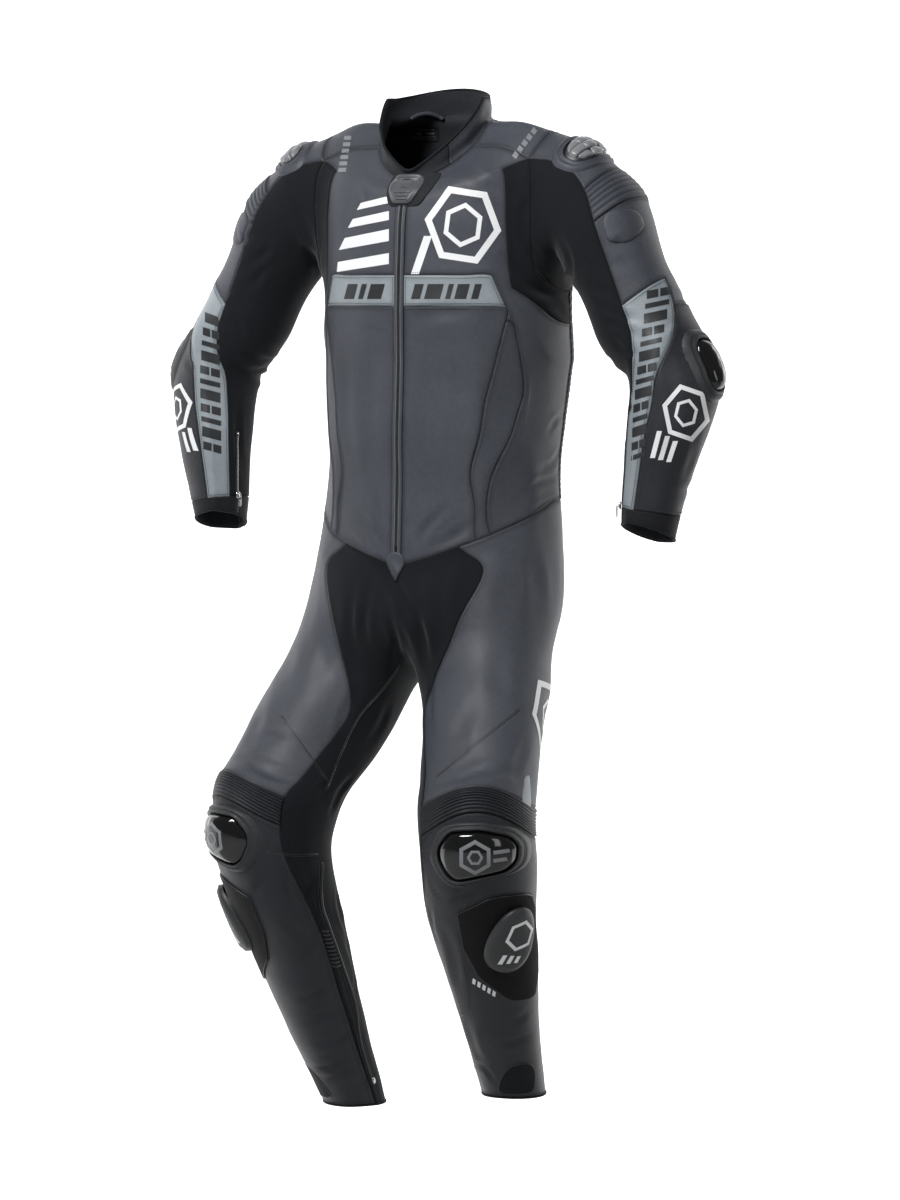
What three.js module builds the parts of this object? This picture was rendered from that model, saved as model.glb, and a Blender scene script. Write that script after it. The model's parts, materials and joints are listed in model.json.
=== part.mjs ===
// Motorcycle race suit: a one-piece leather garment, filled out as worn, with no wearer in it.
// Millimetres, +Z up, the suit faces -Y and its wearer's left side is +X.
// The origin is the middle of the neck opening, where the wearer's shoulders carry the suit.
//
// The whole garment is one cage of quads: a torso tube, two sleeves, two legs and a collar that share
// their edge points. Each piece that a maker would cut is a block of cage cells, thickened into a wall.
// Seams therefore fall on shared points, and each wall stops half a seam gap short of them.

import * as THREE from "three";

const WALL = 2.4; // leather with its backing
const SEAM_GAP = 0.3; // between neighbouring pieces
const LAY_GAP = 1.0; // between a panel and what is fixed on it
const ZIP_HALF = 6.5; // half the width of the main zip's tape

const HALF = 15; // columns of the torso from the zip's edge (0) round to the back strip (15)
const PANT_EDGE = 3; // column where the front thigh leather meets the stretch crotch
const LENS_IN = 4; // column of the inner seam of the waist inset
const LENS_OUT = 5; // column of the outer seam of the waist inset
const ARM_FRONT = 6; // first and last column of the armhole
const ARM_BACK = 10;
const SIDE = 8; // side seam and shoulder seam
const STRIP = 9; // front edge of the ribbed side strip, which is one column wide
const CROTCH = 2; // points of the crotch line between the front and the back strip

const DEG = Math.PI / 180;
const mix = (a, b, t) => a + (b - a) * t;
const clamp = (t) => Math.min(1, Math.max(0, t));
const smooth = (from, to, t) => {
  const u = clamp((t - from) / (to - from));
  return u * u * (3 - 2 * u);
};

// A table: the column names once, then one row of numbers for each section.
function table(columns, rows) {
  const names = columns.split(" ");
  return rows.map((row) => Object.fromEntries(names.map((name, i) => [name, row[i]])));
}

// Torso sections from the waist seam up to the neckline. A section's height differs between its
// front, side and back; front and rear are its depths from centreY, and round is the power of its
// superellipse. lensIn and lensOut are the angles of the waist inset's seams, in degrees from the front.
const TORSO = table(
  "zFront zSide zBack half front rear centreY round dip lensIn lensOut",
  [
    [-575, -486, -480, 174, 134, 96, -14, 2.2, 0, 38, 46],
    [-520, -455, -450, 170, 134, 104, -12, 2.2, 0, 38, 44],
    [-462, -424, -415, 169, 135, 108, -9, 2.2, 0, 35, 48],
    [-404, -394, -382, 171, 137, 114, -7, 2.2, 0, 39, 57],
    [-348, -364, -350, 173, 137, 120, -5, 2.2, 0, 41, 61],
    [-290, -334, -318, 176, 137, 124, -3, 2.2, 0, 44, 63],
    [-236, -305, -286, 180, 137, 125, -3, 2.2, 1, 51, 55],
    [-219, -288, -262, 182, 137, 125, -3, 2.2, 1, 50, 56],
    [-176, -245, -226, 183, 136, 123, -3, 2.2, 1, 42, 52],
    [-150, -200, -180, 184, 133, 119, -4, 2.2, 2, 40, 49],
    [-124, -146, -130, 183, 129, 112, -7, 2.2, 2, 39, 48],
    [-100, -92, -80, 182, 122, 103, -12, 2.2, 2, 38, 48],
    [-78, -36, -30, 179, 110, 92, -20, 2.2, 2, 38, 50],
    [-62, 24, 14, 174, 96, 82, -28, 2.2, 2, 39, 55],
    [-54, 34, 36, 124, 82, 74, -34, 2.1, 2, 40, 56],
    [-46, 33, 48, 80, 76, 76, -34, 2.0, 2, 42, 58],
  ],
);
const LENS_TOP = 6; // row where the waist inset starts
const BAND = 7; // row at the lower edge of the chest band; its upper edge is the next row
const UNDERARM = 9; // row of the bottom of the armhole
const TIP = 13; // row of the shoulder tip, the top of the armhole
const NECK = 15; // row of the neckline

// Hip sections, from just under the waist seam down to where the legs part. edge is the angle of
// the seam between the stretch crotch and the thigh leather.
const HIPS = table("zFront zSide zBack half front rear centreY round edge", [
  [-606, -535, -536, 179, 136, 104, -20, 2.2, 42],
  [-640, -595, -602, 186, 134, 112, -32, 2.2, 34],
  [-672, -652, -668, 194, 126, 116, -48, 2.3, 28],
]);

// Leg sections, horizontal, from under the crotch to the hem. x and y are the centre, wide and deep
// the half sizes across and along the way the leg faces. facing turns the leg outwards, edge is the
// angle of the inner front seam and outer that of the side seam, both from the leg's front. arch lifts
// the middle of the front of a section, and cross lifts its outer side.
const LEGS = table("z x y wide deep facing edge outer arch cross", [
  [-722, 109, -92, 90, 101, 12, -62, 92, 0, 26],
  [-762, 120, -107, 87, 99, 17, -62, 92, 0, 24],
  [-800, 130, -133, 85, 96, 22, -60, 92, 0, 30],
  [-846, 142, -164, 82, 92, 27, -62, 92, 10, 22],
  [-896, 154, -195, 80, 88, 30, -66, 92, 40, 0],
  [-932, 161, -206, 79, 86, 30, -70, 92, 43, 0],
  [-968, 165, -207, 79, 83, 30, -76, 92, 10, 0],
  [-1010, 160, -196, 77, 77, 30, -84, 92, 0, 0],
  [-1050, 154, -180, 73, 73, 30, -90, 92, 0, 0],
  [-1095, 150, -157, 68, 68, 30, -95, 94, 0, 0],
  [-1140, 146, -135, 62, 63, 30, -97, 96, 0, 0],
  [-1185, 141, -112, 56, 58, 28, -98, 98, 0, 0],
  [-1230, 137, -89, 51, 53, 26, -98, 100, 0, 0],
  [-1273, 132, -65, 47, 48, 25, -98, 100, 0, 0],
  [-1308, 129, -46, 44, 44, 25, -98, 100, 0, 0],
]);
const DIAGONAL = 4; // row of the slanting seam across the thigh
const KNEE_TOP = 5; // rows that bound the ribbed stretch above the knee
const KNEE_RIBS_END = 6;
const SHIN = 8; // row of the seam under the knee
const HEM = 15; // row of the hem; the legs' row 0 is the last hip section

// Sleeve sections from the shoulder to the cuff. tilt is how far a section has turned from facing
// sideways (0) to facing down (90); up and front are its half sizes; slant shortens its front.
const SLEEVES = table("x y z tilt up front slant cross edge silver", [
  [212, -12, -64, 16, 86, 78, 0, 0, 50, 0],
  [237, -15, -92, 36, 81, 75, 0, 0, 63, 2],
  [256, -18, -121, 46, 74, 71, 0, 0, 72, 3],
  [285, -23, -178, 56, 63, 64, 0, 0, 76, 6],
  [306, -27, -220, 60, 59, 61, 6, 12, 78, 10],
  [326, -27, -252, 60, 58, 60, 4, 10, 86, 18],
  [346, -26, -280, 68, 59, 61, 0, 6, 106, 46],
  [363, -26, -308, 82, 62, 62, 0, 0, 128, 84],
  [368, -32, -340, 90, 61, 60, 0, 0, 138, 92],
  [364, -40, -375, 96, 57, 56, 0, 0, 142, 95],
  [358, -47, -415, 96, 51, 51, 0, 0, 144, 97],
  [352, -52, -455, 96, 45, 46, 2, 0, 145, 98],
  [346, -56, -494, 97, 40, 42, -2, 0, 145, 98],
  [343, -59, -523, 98, 36, 38, -14, 0, 145, 98],
]);
const CAP_RIBS = 2; // row of the ribbed stretch under the shoulder cup
const FOREARM = 5; // row of the slanting top of the light forearm strip
const ELBOW = 8;
const CUFF = 13; // row where the cuff band starts
const SLEEVE_END = 14;
const RIGHT_DROP = 34; // the wearer's right shin reaches this much lower than the left
const KNEE_Z = -940;

// The cage.
const points = []; // THREE.Vector3
const cells = []; // { corners: [a, b, c, d], tube, side, row, col }
const addPoint = (x, y, z) => points.push(new THREE.Vector3(x, y, z)) - 1;
const sign = (side) => (side === "left" ? 1 : -1);
const SIDES = ["left", "right"];

// How much of a section's front height still shows at an angle from the front: a soft V at the
// waist, a step on the chest that drops under the arm, and a plain round one at the neck.
function frontShare(row, angle) {
  if (angle > 90) return 0;
  if (row.dip === 0) return 1 - angle / 90;
  if (row.dip === 1) return 1 - smooth(46, 88, angle);
  return 1 - Math.pow(angle / 90, 1.7);
}

// A point of a torso or hip section at an angle in degrees from the front.
function bodyPoint(row, angle, side) {
  const s = Math.pow(Math.abs(Math.sin(angle * DEG)), 2 / row.round);
  const c = Math.pow(Math.abs(Math.cos(angle * DEG)), 2 / row.round);
  const isFront = angle < 90;
  const y = row.centreY + (isFront ? -row.front : row.rear) * c;
  const share = isFront ? frontShare(row, angle) : Math.cos(angle * DEG) ** 2;
  const z = mix(row.zSide, isFront ? row.zFront : row.zBack, share);
  return addPoint(sign(side) * row.half * s, y, z);
}

// The angles of a torso section's columns. The zip's edge and the back strip's edge are at a fixed
// distance from the middle, and the columns between two seams are spread evenly.
function torsoAngles(row) {
  const first = Math.asin(Math.pow(ZIP_HALF / row.half, row.round / 2)) / DEG;
  const marks = [
    [0, first],
    [LENS_IN, row.lensIn],
    [LENS_OUT, row.lensOut],
    [ARM_FRONT, 67],
    [SIDE, 90],
    [STRIP, 101],
    [ARM_BACK, 113],
    [HALF, 180 - first],
  ];
  return spread(marks);
}

// Evenly spaced values between marks of [index, value].
function spread(marks) {
  const values = [];
  for (let m = 0; m + 1 < marks.length; m++) {
    const [from, a] = marks[m];
    const [to, b] = marks[m + 1];
    for (let i = from; i <= to; i++) values[i] = mix(a, b, (i - from) / (to - from));
  }
  return values;
}

function hipAngles(row) {
  const first = Math.asin(Math.pow(ZIP_HALF / row.half, row.round / 2)) / DEG;
  return spread([
    [0, first],
    [PANT_EDGE, row.edge],
    [LENS_OUT, mix(row.edge, 67, 0.45)],
    [SIDE, 90],
    [STRIP, 101],
    [ARM_BACK, 113],
    [HALF, 180 - first],
  ]);
}

const torso = {};
const hips = {};
const sleeves = {};
const legs = {};
const collar = {};
const NECK_Y = TORSO[NECK].centreY;

for (const side of SIDES) {
  torso[side] = TORSO.map((row, i) =>
    torsoAngles(row).map((angle, j) => {
      const inArmhole = i > UNDERARM && i < TIP && j > ARM_FRONT && j < ARM_BACK;
      return inArmhole ? -1 : bodyPoint(row, angle, side);
    }),
  );
  hips[side] = [torso[side][0], ...HIPS.map((row) => hipAngles(row).map((a) => bodyPoint(row, a, side)))];
}

// The crotch line joins the front and back strips under the body. Each leg has its own, ZIP_HALF
// from the middle, and the gusset lies between the two.
const CROTCH_LINE = table("y z spread", [
  [-92, -728, 1.3],
  [-8, -738, 1.5],
]);
const crotchLine = {};
for (const side of SIDES)
  crotchLine[side] = CROTCH_LINE.map((p) => addPoint(sign(side) * ZIP_HALF * p.spread, p.y, p.z));

// A leg section's columns: 0 to HALF as on the hips, then the crotch line's back to the front.
const LEG_COLUMNS = HALF + 1 + CROTCH;
function legAngles(row) {
  return spread([
    [0, row.edge - 30],
    [PANT_EDGE, row.edge],
    [STRIP, row.outer],
    [HALF, 205],
    [LEG_COLUMNS, row.edge - 30 + 360],
  ]).slice(0, LEG_COLUMNS);
}

for (const side of SIDES) {
  const s = sign(side);
  legs[side] = [[...hips[side][HIPS.length], ...[...crotchLine[side]].reverse()]];
  LEGS.forEach((row, i) => {
    legs[side].push(
      legAngles(row).map((angle) => {
        const a = angle * DEG;
        const f = row.facing * DEG;
        const across = row.wide * Math.sin(a);
        const along = row.deep * Math.cos(a);
        const front = Math.max(0, Math.cos(a));
        const lift = row.arch * front * front + row.cross * Math.sin(a);
        const x = row.x + across * Math.cos(f) + along * Math.sin(f);
        const y = row.y + across * Math.sin(f) - along * Math.cos(f);
        const drop = side === "right" ? RIGHT_DROP * smooth(KNEE_Z, LEGS.at(-1).z, row.z) : 0;
        return addPoint(s * x, y, row.z + lift - drop);
      }),
    );
  });
}

// A sleeve's columns start at the shoulder seam and go round by the front: the armhole's points.
function armhole(side) {
  const t = torso[side];
  const loop = [];
  for (let j = SIDE; j > ARM_FRONT; j--) loop.push(t[TIP][j]);
  for (let i = TIP; i > UNDERARM; i--) loop.push(t[i][ARM_FRONT]);
  for (let j = ARM_FRONT; j < ARM_BACK; j++) loop.push(t[UNDERARM][j]);
  for (let i = UNDERARM; i < TIP; i++) loop.push(t[i][ARM_BACK]);
  for (let j = ARM_BACK; j > SIDE; j--) loop.push(t[TIP][j]);
  return loop;
}
const SLEEVE_COLUMNS = 2 * (ARM_BACK - ARM_FRONT) + 2 * (TIP - UNDERARM);
const SLEEVE_EDGE = SIDE - ARM_FRONT; // column where leather or the light strip meets the stretch
const SLEEVE_BACK = SLEEVE_COLUMNS - (ARM_BACK - SIDE) - 1; // column of the seam down the back
function sleeveAngles(row) {
  const angles = spread([
    [0, row.silver],
    [SLEEVE_EDGE, row.edge],
    [SLEEVE_BACK, 265],
    [SLEEVE_COLUMNS, row.silver + 360],
  ]);
  return angles.slice(0, SLEEVE_COLUMNS);
}

for (const side of SIDES) {
  const s = sign(side);
  sleeves[side] = [armhole(side)];
  SLEEVES.forEach((row, i) => {
    const ring = [];
    for (const angle of sleeveAngles(row)) {
      const up = row.up * Math.cos(angle * DEG);
      const front = row.front * Math.sin(angle * DEG);
      const tilt = row.tilt * DEG;
      const lift = row.cross * Math.cos(angle * DEG) - row.slant * Math.sin(angle * DEG);
      const x = row.x + up * Math.sin(tilt);
      ring.push(addPoint(s * x, row.y - front, row.z + up * Math.cos(tilt) + lift));
    }
    sleeves[side].push(ring);
  });
}

// Collar: two rings above the neckline. It leans in and forwards, and its front dips to a notch.
const COLLAR = table("rise lean inset notch", [
  [16, -3, 2, 6],
  [34, -7, 3, 24],
]);
for (const side of SIDES) {
  const base = torso[side][NECK];
  collar[side] = [base];
  for (const row of COLLAR)
    collar[side].push(
      torsoAngles(TORSO[NECK]).map((angle, j) => {
        const p = points[base[j]];
        const front = angle < 90 ? Math.pow(1 - angle / 90, 2.2) : 0;
        const s = (Math.hypot(p.x, p.y - NECK_Y) - row.inset) / Math.hypot(p.x, p.y - NECK_Y);
        const x = j === 0 || j === HALF ? p.x : p.x * s;
        return addPoint(x, NECK_Y + (p.y - NECK_Y) * s + row.lean, p.z + row.rise - row.notch * front);
      }),
    );
}

// Cells. A mirrored side lists its corners the other way round, so that every cell faces outwards.
function addCells(tube, side, rows, closed) {
  for (let i = 0; i + 1 < rows.length; i++) {
    const n = rows[i].length;
    for (let j = 0; j < (closed ? n : n - 1); j++) {
      const k = (j + 1) % n;
      const corners = [rows[i][j], rows[i][k], rows[i + 1][k], rows[i + 1][j]];
      if (corners.includes(-1)) continue;
      cells.push({ tube, side, row: i, col: j, corners });
    }
  }
}
for (const side of SIDES) {
  const t = torso[side];
  for (let i = 0; i < NECK; i++)
    for (let j = 0; j < HALF; j++) {
      const open = i >= UNDERARM && i < TIP && j >= ARM_FRONT && j < ARM_BACK;
      if (!open)
        cells.push({ tube: "torso", side, row: i, col: j, corners: [t[i][j], t[i][j + 1], t[i + 1][j + 1], t[i + 1][j]] });
    }
  addCells("hips", side, hips[side], false);
  addCells("legs", side, legs[side], true);
  addCells("sleeves", side, sleeves[side], true);
  addCells("collar", side, collar[side], false);
}
// Strips across the middle: zip in front, back seam behind, gusset under the crotch.
function addStrip(tube, leftLine, rightLine, flip) {
  for (let i = 0; i + 1 < leftLine.length; i++) {
    const corners = [rightLine[i], leftLine[i], leftLine[i + 1], rightLine[i + 1]];
    cells.push({ tube, side: "middle", row: i, col: 0, corners: flip ? corners.reverse() : corners });
  }
}
const line = (grid, side, j) => grid[side].map((row) => row[j]);
addStrip("zip", line(torso, "left", 0), line(torso, "right", 0));
addStrip("spine", line(torso, "left", HALF), line(torso, "right", HALF), true);
addStrip("collarFront", line(collar, "left", 0), line(collar, "right", 0));
addStrip("collarBack", line(collar, "left", HALF), line(collar, "right", HALF), true);
addStrip("fly", line(hips, "left", 0), line(hips, "right", 0), true);
addStrip("seatSeam", line(hips, "left", HALF), line(hips, "right", HALF));
const under = (side) => [hips[side][HIPS.length][0], ...crotchLine[side], hips[side][HIPS.length][HALF]];
addStrip("gusset", under("left"), under("right"), true);

// Every cell has to face away from the middle of its tube.
function cellNormal(c) {
  const [a, b, d, e] = c.corners.map((i) => points[i]);
  return new THREE.Vector3().subVectors(d, a).cross(new THREE.Vector3().subVectors(e, b));
}
const middle = (list) =>
  list.reduce((sum, i) => sum.add(points[i]), new THREE.Vector3()).divideScalar(list.length);
const GRIDS = { legs, sleeves };
for (const c of cells) {
  const mid = middle(c.corners);
  let centre = new THREE.Vector3(0, -20, Math.min(mid.z, -150));
  if (c.tube in GRIDS) centre = middle([...GRIDS[c.tube][c.side][c.row], ...GRIDS[c.tube][c.side][c.row + 1]]);
  if (c.tube === "gusset") centre = new THREE.Vector3(0, -50, -600);
  if (c.tube.startsWith("collar")) centre = new THREE.Vector3(0, NECK_Y, mid.z);
  c.rail = [[c.corners[0], c.corners[3]], [c.corners[1], c.corners[2]]]; // its two edges along the tube
  if (cellNormal(c).dot(mid.sub(centre)) < 0) {
    c.corners.reverse();
    c.rail.reverse();
  }
}

// Relaxing the cage round the armholes and the crotch turns the meeting tubes into one cloth.
const isRelaxed = new Map();
for (const side of SIDES) {
  for (let i = UNDERARM - 1; i <= TIP; i++)
    for (let j = ARM_FRONT - 1; j <= ARM_BACK + 1; j++)
      if (torso[side][i][j] >= 0) isRelaxed.set(torso[side][i][j], 0.5);
  for (let i = 1; i <= 2; i++) for (const p of sleeves[side][i]) isRelaxed.set(p, 0.5);
  for (const p of legs[side][0]) isRelaxed.set(p, 0.4);
  for (const p of legs[side][1]) isRelaxed.set(p, 0.5);
}
function relax(times) {
  const near = new Map();
  for (const { corners } of cells)
    corners.forEach((a, k) => {
      const b = corners[(k + 1) % 4];
      for (const [p, q] of [[a, b], [b, a]]) {
        if (!near.has(p)) near.set(p, new Set());
        near.get(p).add(q);
      }
    });
  for (let n = 0; n < times; n++) {
    const moved = new Map();
    for (const [p, weight] of isRelaxed) {
      const around = [...near.get(p)];
      const mean = around.reduce((m, q) => m.add(points[q]), new THREE.Vector3()).divideScalar(around.length);
      moved.set(p, points[p].clone().lerp(mean, weight));
    }
    for (const [p, v] of moved) points[p] = v;
  }
}
relax(3);

const normals = points.map(() => new THREE.Vector3());
for (const c of cells) {
  const n = cellNormal(c);
  for (const p of c.corners) normals[p].add(n);
}
for (const n of normals) n.normalize();

// A point on the boundary of a piece moves in by half the seam gap, square to both edges there.
function insetPoints(list) {
  const directed = new Map();
  for (const c of list)
    c.corners.forEach((a, k) => {
      const b = c.corners[(k + 1) % 4];
      directed.set(`${a} ${b}`, [a, b]);
    });
  const next = new Map();
  const previous = new Map();
  for (const [a, b] of directed.values())
    if (!directed.has(`${b} ${a}`)) {
      if (next.has(a) || previous.has(b)) throw new Error(`a piece meets itself at ${a}`);
      next.set(a, b);
      previous.set(b, a);
    }
  const outer = new Map();
  for (const c of list)
    for (const p of c.corners) {
      const at = points[p].clone();
      if (next.has(p) && !outer.has(p)) {
        const inwards = [
          [previous.get(p), p],
          [p, next.get(p)],
        ].map(([a, b]) => new THREE.Vector3().subVectors(points[b], points[a]).cross(normals[p]).negate().normalize());
        const sum = inwards[0].clone().add(inwards[1]);
        at.addScaledVector(sum, SEAM_GAP / 2 / Math.max(0.35, 1 + inwards[0].dot(inwards[1])));
      }
      if (!outer.has(p)) outer.set(p, at);
    }
  return { outer, next };
}

// Each piece is a wall: the block's points, the same points one wall further in, and a rim that joins
// them. A ribbed piece has ribs across its cells, raised in the outer points only.
function wall(list, ribs = 0, height = 0) {
  const { outer, next } = insetPoints(list);
  const position = [];
  const index = [];
  const ids = new Map();
  function vertex(key, out, inn) {
    if (!ids.has(key)) {
      ids.set(key, position.length / 6);
      position.push(...out.toArray(), ...inn.toArray());
    }
    return ids.get(key);
  }
  const steps = Math.max(1, 2 * ribs);
  function railPoint([lo, hi], step) {
    const pick = step === 0 ? lo : hi;
    if (step === 0 || step === steps) {
      const o = outer.get(pick);
      return vertex(`${pick}`, o, o.clone().addScaledVector(normals[pick], -WALL));
    }
    const t = step / steps;
    const n = normals[lo].clone().lerp(normals[hi], t).normalize();
    const base = outer.get(lo).clone().lerp(outer.get(hi), t);
    const inLo = outer.get(lo).clone().addScaledVector(normals[lo], -WALL);
    const inHi = outer.get(hi).clone().addScaledVector(normals[hi], -WALL);
    const raised = base.clone().addScaledVector(n, step % 2 ? height : 0);
    return vertex(`${lo} ${hi} ${step}`, raised, inLo.lerp(inHi, t));
  }
  const rims = [];
  const face = (a, b, c) => {
    index.push(2 * a, 2 * b, 2 * c, 2 * a + 1, 2 * c + 1, 2 * b + 1);
  };
  for (const c of list) {
    for (let k = 0; k < steps; k++) {
      const a = railPoint(c.rail[0], k);
      const b = railPoint(c.rail[1], k);
      const d = railPoint(c.rail[1], k + 1);
      const e = railPoint(c.rail[0], k + 1);
      const quad = isForward(c) ? [a, b, d, e] : [b, a, e, d];
      face(quad[0], quad[1], quad[2]);
      face(quad[0], quad[2], quad[3]);
      quad.forEach((p, i) => rims.push([p, quad[(i + 1) % 4]]));
    }
  }
  // Both pieces at a seam split their rims the same way, from the lower cage point to the higher.
  const used = new Set(rims.map((r) => r.join(" ")));
  const keys = [...ids.keys()].map((key) => parseInt(key, 10));
  for (const [a, b] of rims) {
    if (used.has(`${b} ${a}`)) continue;
    if (keys[a] < keys[b]) index.push(2 * b, 2 * a, 2 * b + 1, 2 * a, 2 * a + 1, 2 * b + 1);
    else index.push(2 * b, 2 * a, 2 * a + 1, 2 * b, 2 * a + 1, 2 * b + 1);
  }
  return solid(position, index);
}
// Whether a cell's corners run along its first rail's lower end, then the second rail's.
const isForward = (c) => c.corners[(c.corners.indexOf(c.rail[0][0]) + 1) % 4] === c.rail[1][0];

function solid(position, index) {
  const geometry = new THREE.BufferGeometry();
  geometry.setAttribute("position", new THREE.Float32BufferAttribute(position, 3));
  geometry.setIndex(index);
  return geometry;
}

// The outer face of the cage where a ray from inside leaves it.
const TRIANGLES = cells.flatMap((c) => {
  const [a, b, d, e] = c.corners;
  return [
    { tube: c.tube, side: c.side, ids: [a, b, d] },
    { tube: c.tube, side: c.side, ids: [a, d, e] },
  ];
});
function hit(where, origin, direction) {
  const ray = new THREE.Ray(origin, direction);
  let best = null;
  for (const t of TRIANGLES) {
    if (!where(t)) continue;
    const [a, b, d] = t.ids.map((i) => points[i]);
    const at = ray.intersectTriangle(a, b, d, false, new THREE.Vector3());
    if (at && (!best || at.distanceTo(origin) > best)) best = at.distanceTo(origin);
  }
  if (best === null) throw new Error(`no surface from ${origin.toArray()}`);
  return best;
}

// A sheet or a cap that lies on the cage. rayAt(u, v) gives a ray for each place on it, gap is its
// distance from the cloth, and thick(u, v) its thickness. Its underside clears the cloth between its
// own points too, because it takes the highest of the places round it.
function lie({ where, rayAt, us, vs, closed, pole, gap, thick, inside }) {
  const position = [];
  const index = [];
  const near = inside ? Math.min : Math.max;
  const out = inside ? -1 : 1;
  const grid = us.map((u, i) =>
    vs.map((v, j) => {
      const du = (us[Math.min(i + 1, us.length - 1)] - us[Math.max(i - 1, 0)]) / 4;
      const dv = (vs[Math.min(j + 1, vs.length - 1)] - vs[Math.max(j - 1, 0)]) / 4;
      const places = [[0, 0], [du, 0], [-du, 0], [0, dv], [0, -dv], [du, dv], [-du, -dv]];
      const heights = places.map(([a, b]) => {
        const uu = Math.min(us.at(-1), Math.max(us[0], u + a));
        const ray = rayAt(uu, closed ? v + b : Math.min(vs.at(-1), Math.max(vs[0], v + b)));
        return hit(where, ray.origin, ray.direction);
      });
      const ray = rayAt(u, v);
      const low = near(...heights) + out * gap;
      const top = low + out * thick(u, v);
      const id = position.length / 6;
      position.push(...ray.origin.clone().addScaledVector(ray.direction, low).toArray());
      position.push(...ray.origin.clone().addScaledVector(ray.direction, top).toArray());
      return id;
    }),
  );
  if (pole) grid[0] = grid[0].map(() => grid[0][0]);
  const edges = new Map();
  const tri = (a, b, c) => {
    if (a === b || b === c || a === c) return;
    index.push(2 * a + 1, 2 * b + 1, 2 * c + 1, 2 * a, 2 * c, 2 * b);
    for (const [p, q] of [[a, b], [b, c], [c, a]]) edges.set(`${p} ${q}`, [p, q]);
  };
  const m = vs.length;
  for (let i = 0; i + 1 < us.length; i++)
    for (let j = 0; j < (closed ? m : m - 1); j++) {
      const k = (j + 1) % m;
      tri(grid[i][j], grid[i + 1][j], grid[i + 1][k]);
      tri(grid[i][j], grid[i + 1][k], grid[i][k]);
    }
  for (const [a, b] of edges.values())
    if (!edges.has(`${b} ${a}`)) index.push(2 * b + 1, 2 * a + 1, 2 * a, 2 * b + 1, 2 * a, 2 * b);
  return outwards(solid(position, index));
}
const range = (from, to, steps) => Array.from({ length: steps + 1 }, (_, i) => mix(from, to, i / steps));

// Turns a closed mesh the right way out, whichever way its grid ran, and drops unused points.
function outwards(geometry) {
  const flat = geometry.toNonIndexed();
  const p = flat.attributes.position.array;
  let volume = 0;
  const at = (i) => new THREE.Vector3(p[i], p[i + 1], p[i + 2]);
  for (let i = 0; i < p.length; i += 9) volume += at(i).dot(at(i + 3).cross(at(i + 6)));
  const ids = [...geometry.index.array];
  if (volume < 0) for (let i = 0; i < ids.length; i += 3) [ids[i], ids[i + 1]] = [ids[i + 1], ids[i]];
  const seen = new Map();
  const position = [];
  const index = ids.map((i) => {
    if (!seen.has(i)) {
      seen.set(i, seen.size);
      position.push(...geometry.attributes.position.array.slice(3 * i, 3 * i + 3));
    }
    return seen.get(i);
  });
  return solid(position, index);
}

// Materials.
const paint = (color, roughness, metalness = 0) => new THREE.MeshStandardMaterial({ color, roughness, metalness });
const LEATHER = paint(0x42464b, 0.55);
const DARK_LEATHER = paint(0x2b2c30, 0.55);
const STRETCH = paint(0x15171a, 0.85);
const SILVER = paint(0x8f9aa0, 0.38, 0.3);
const GLOSS = paint(0x0a0b0c, 0.12);
const GREY_PLASTIC = paint(0x6d7276, 0.4);
const HOOK_PILE = paint(0x0c0d0e, 0.95);
const METAL = paint(0x9a9c9f, 0.3, 0.9);

const group = new THREE.Group();
function add(name, geometry, material) {
  const mesh = new THREE.Mesh(geometry, material);
  mesh.name = name;
  group.add(mesh);
  return mesh;
}

// Which piece each cell belongs to.
function owner({ tube, side, row, col }) {
  if (tube === "zip") return "zip";
  if (tube === "spine") return "back";
  if (tube === "seatSeam") return "seat";
  if (tube === "fly" || tube === "gusset") return "crotch";
  if (tube === "collarFront") return "collar_front";
  if (tube === "collarBack") return "collar_back";
  if (tube === "collar") return col < LENS_IN ? "collar_front" : "collar_back";
  if (tube === "torso") {
    if (row >= TIP) return col < ARM_FRONT ? `chest_${side}` : "back";
    if (col >= ARM_BACK) return "back";
    if (row >= UNDERARM) return col < LENS_OUT ? `chest_${side}` : `underarm_${side}`;
    if (col === STRIP) return `side_strip_${side}`;
    if (row > BAND) return col < LENS_OUT ? `chest_${side}` : `underarm_${side}`;
    if (row === BAND) return col < LENS_IN ? `chest_band_${side}` : `chest_${side}`;
    if (col < LENS_IN) return `front_${side}`;
    return row < LENS_TOP && col === LENS_IN ? `waist_inset_${side}` : `chest_${side}`;
  }
  if (tube === "hips") {
    if (col < PANT_EDGE) return "crotch";
    return col < ARM_BACK ? `thigh_${side}` : "seat";
  }
  if (tube === "legs") {
    if (col < PANT_EDGE || col >= HALF) return "crotch";
    if (row < KNEE_TOP) return `thigh_${side}`;
    if (row === KNEE_TOP && col <= STRIP) return `knee_ribs_${side}`;
    return `shin_${side}`;
  }
  if (row >= CUFF) return `cuff_${side}`;
  if (col >= SLEEVE_EDGE && col < SLEEVE_BACK) return `inner_sleeve_${side}`;
  if (row < CAP_RIBS) return `shoulder_${side}`;
  if (row === CAP_RIBS) return `shoulder_ribs_${side}`;
  if (row >= FOREARM && col < SLEEVE_EDGE) return `forearm_strip_${side}`;
  return row < FOREARM + 1 ? `upper_arm_${side}` : `forearm_${side}`;
}

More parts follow.
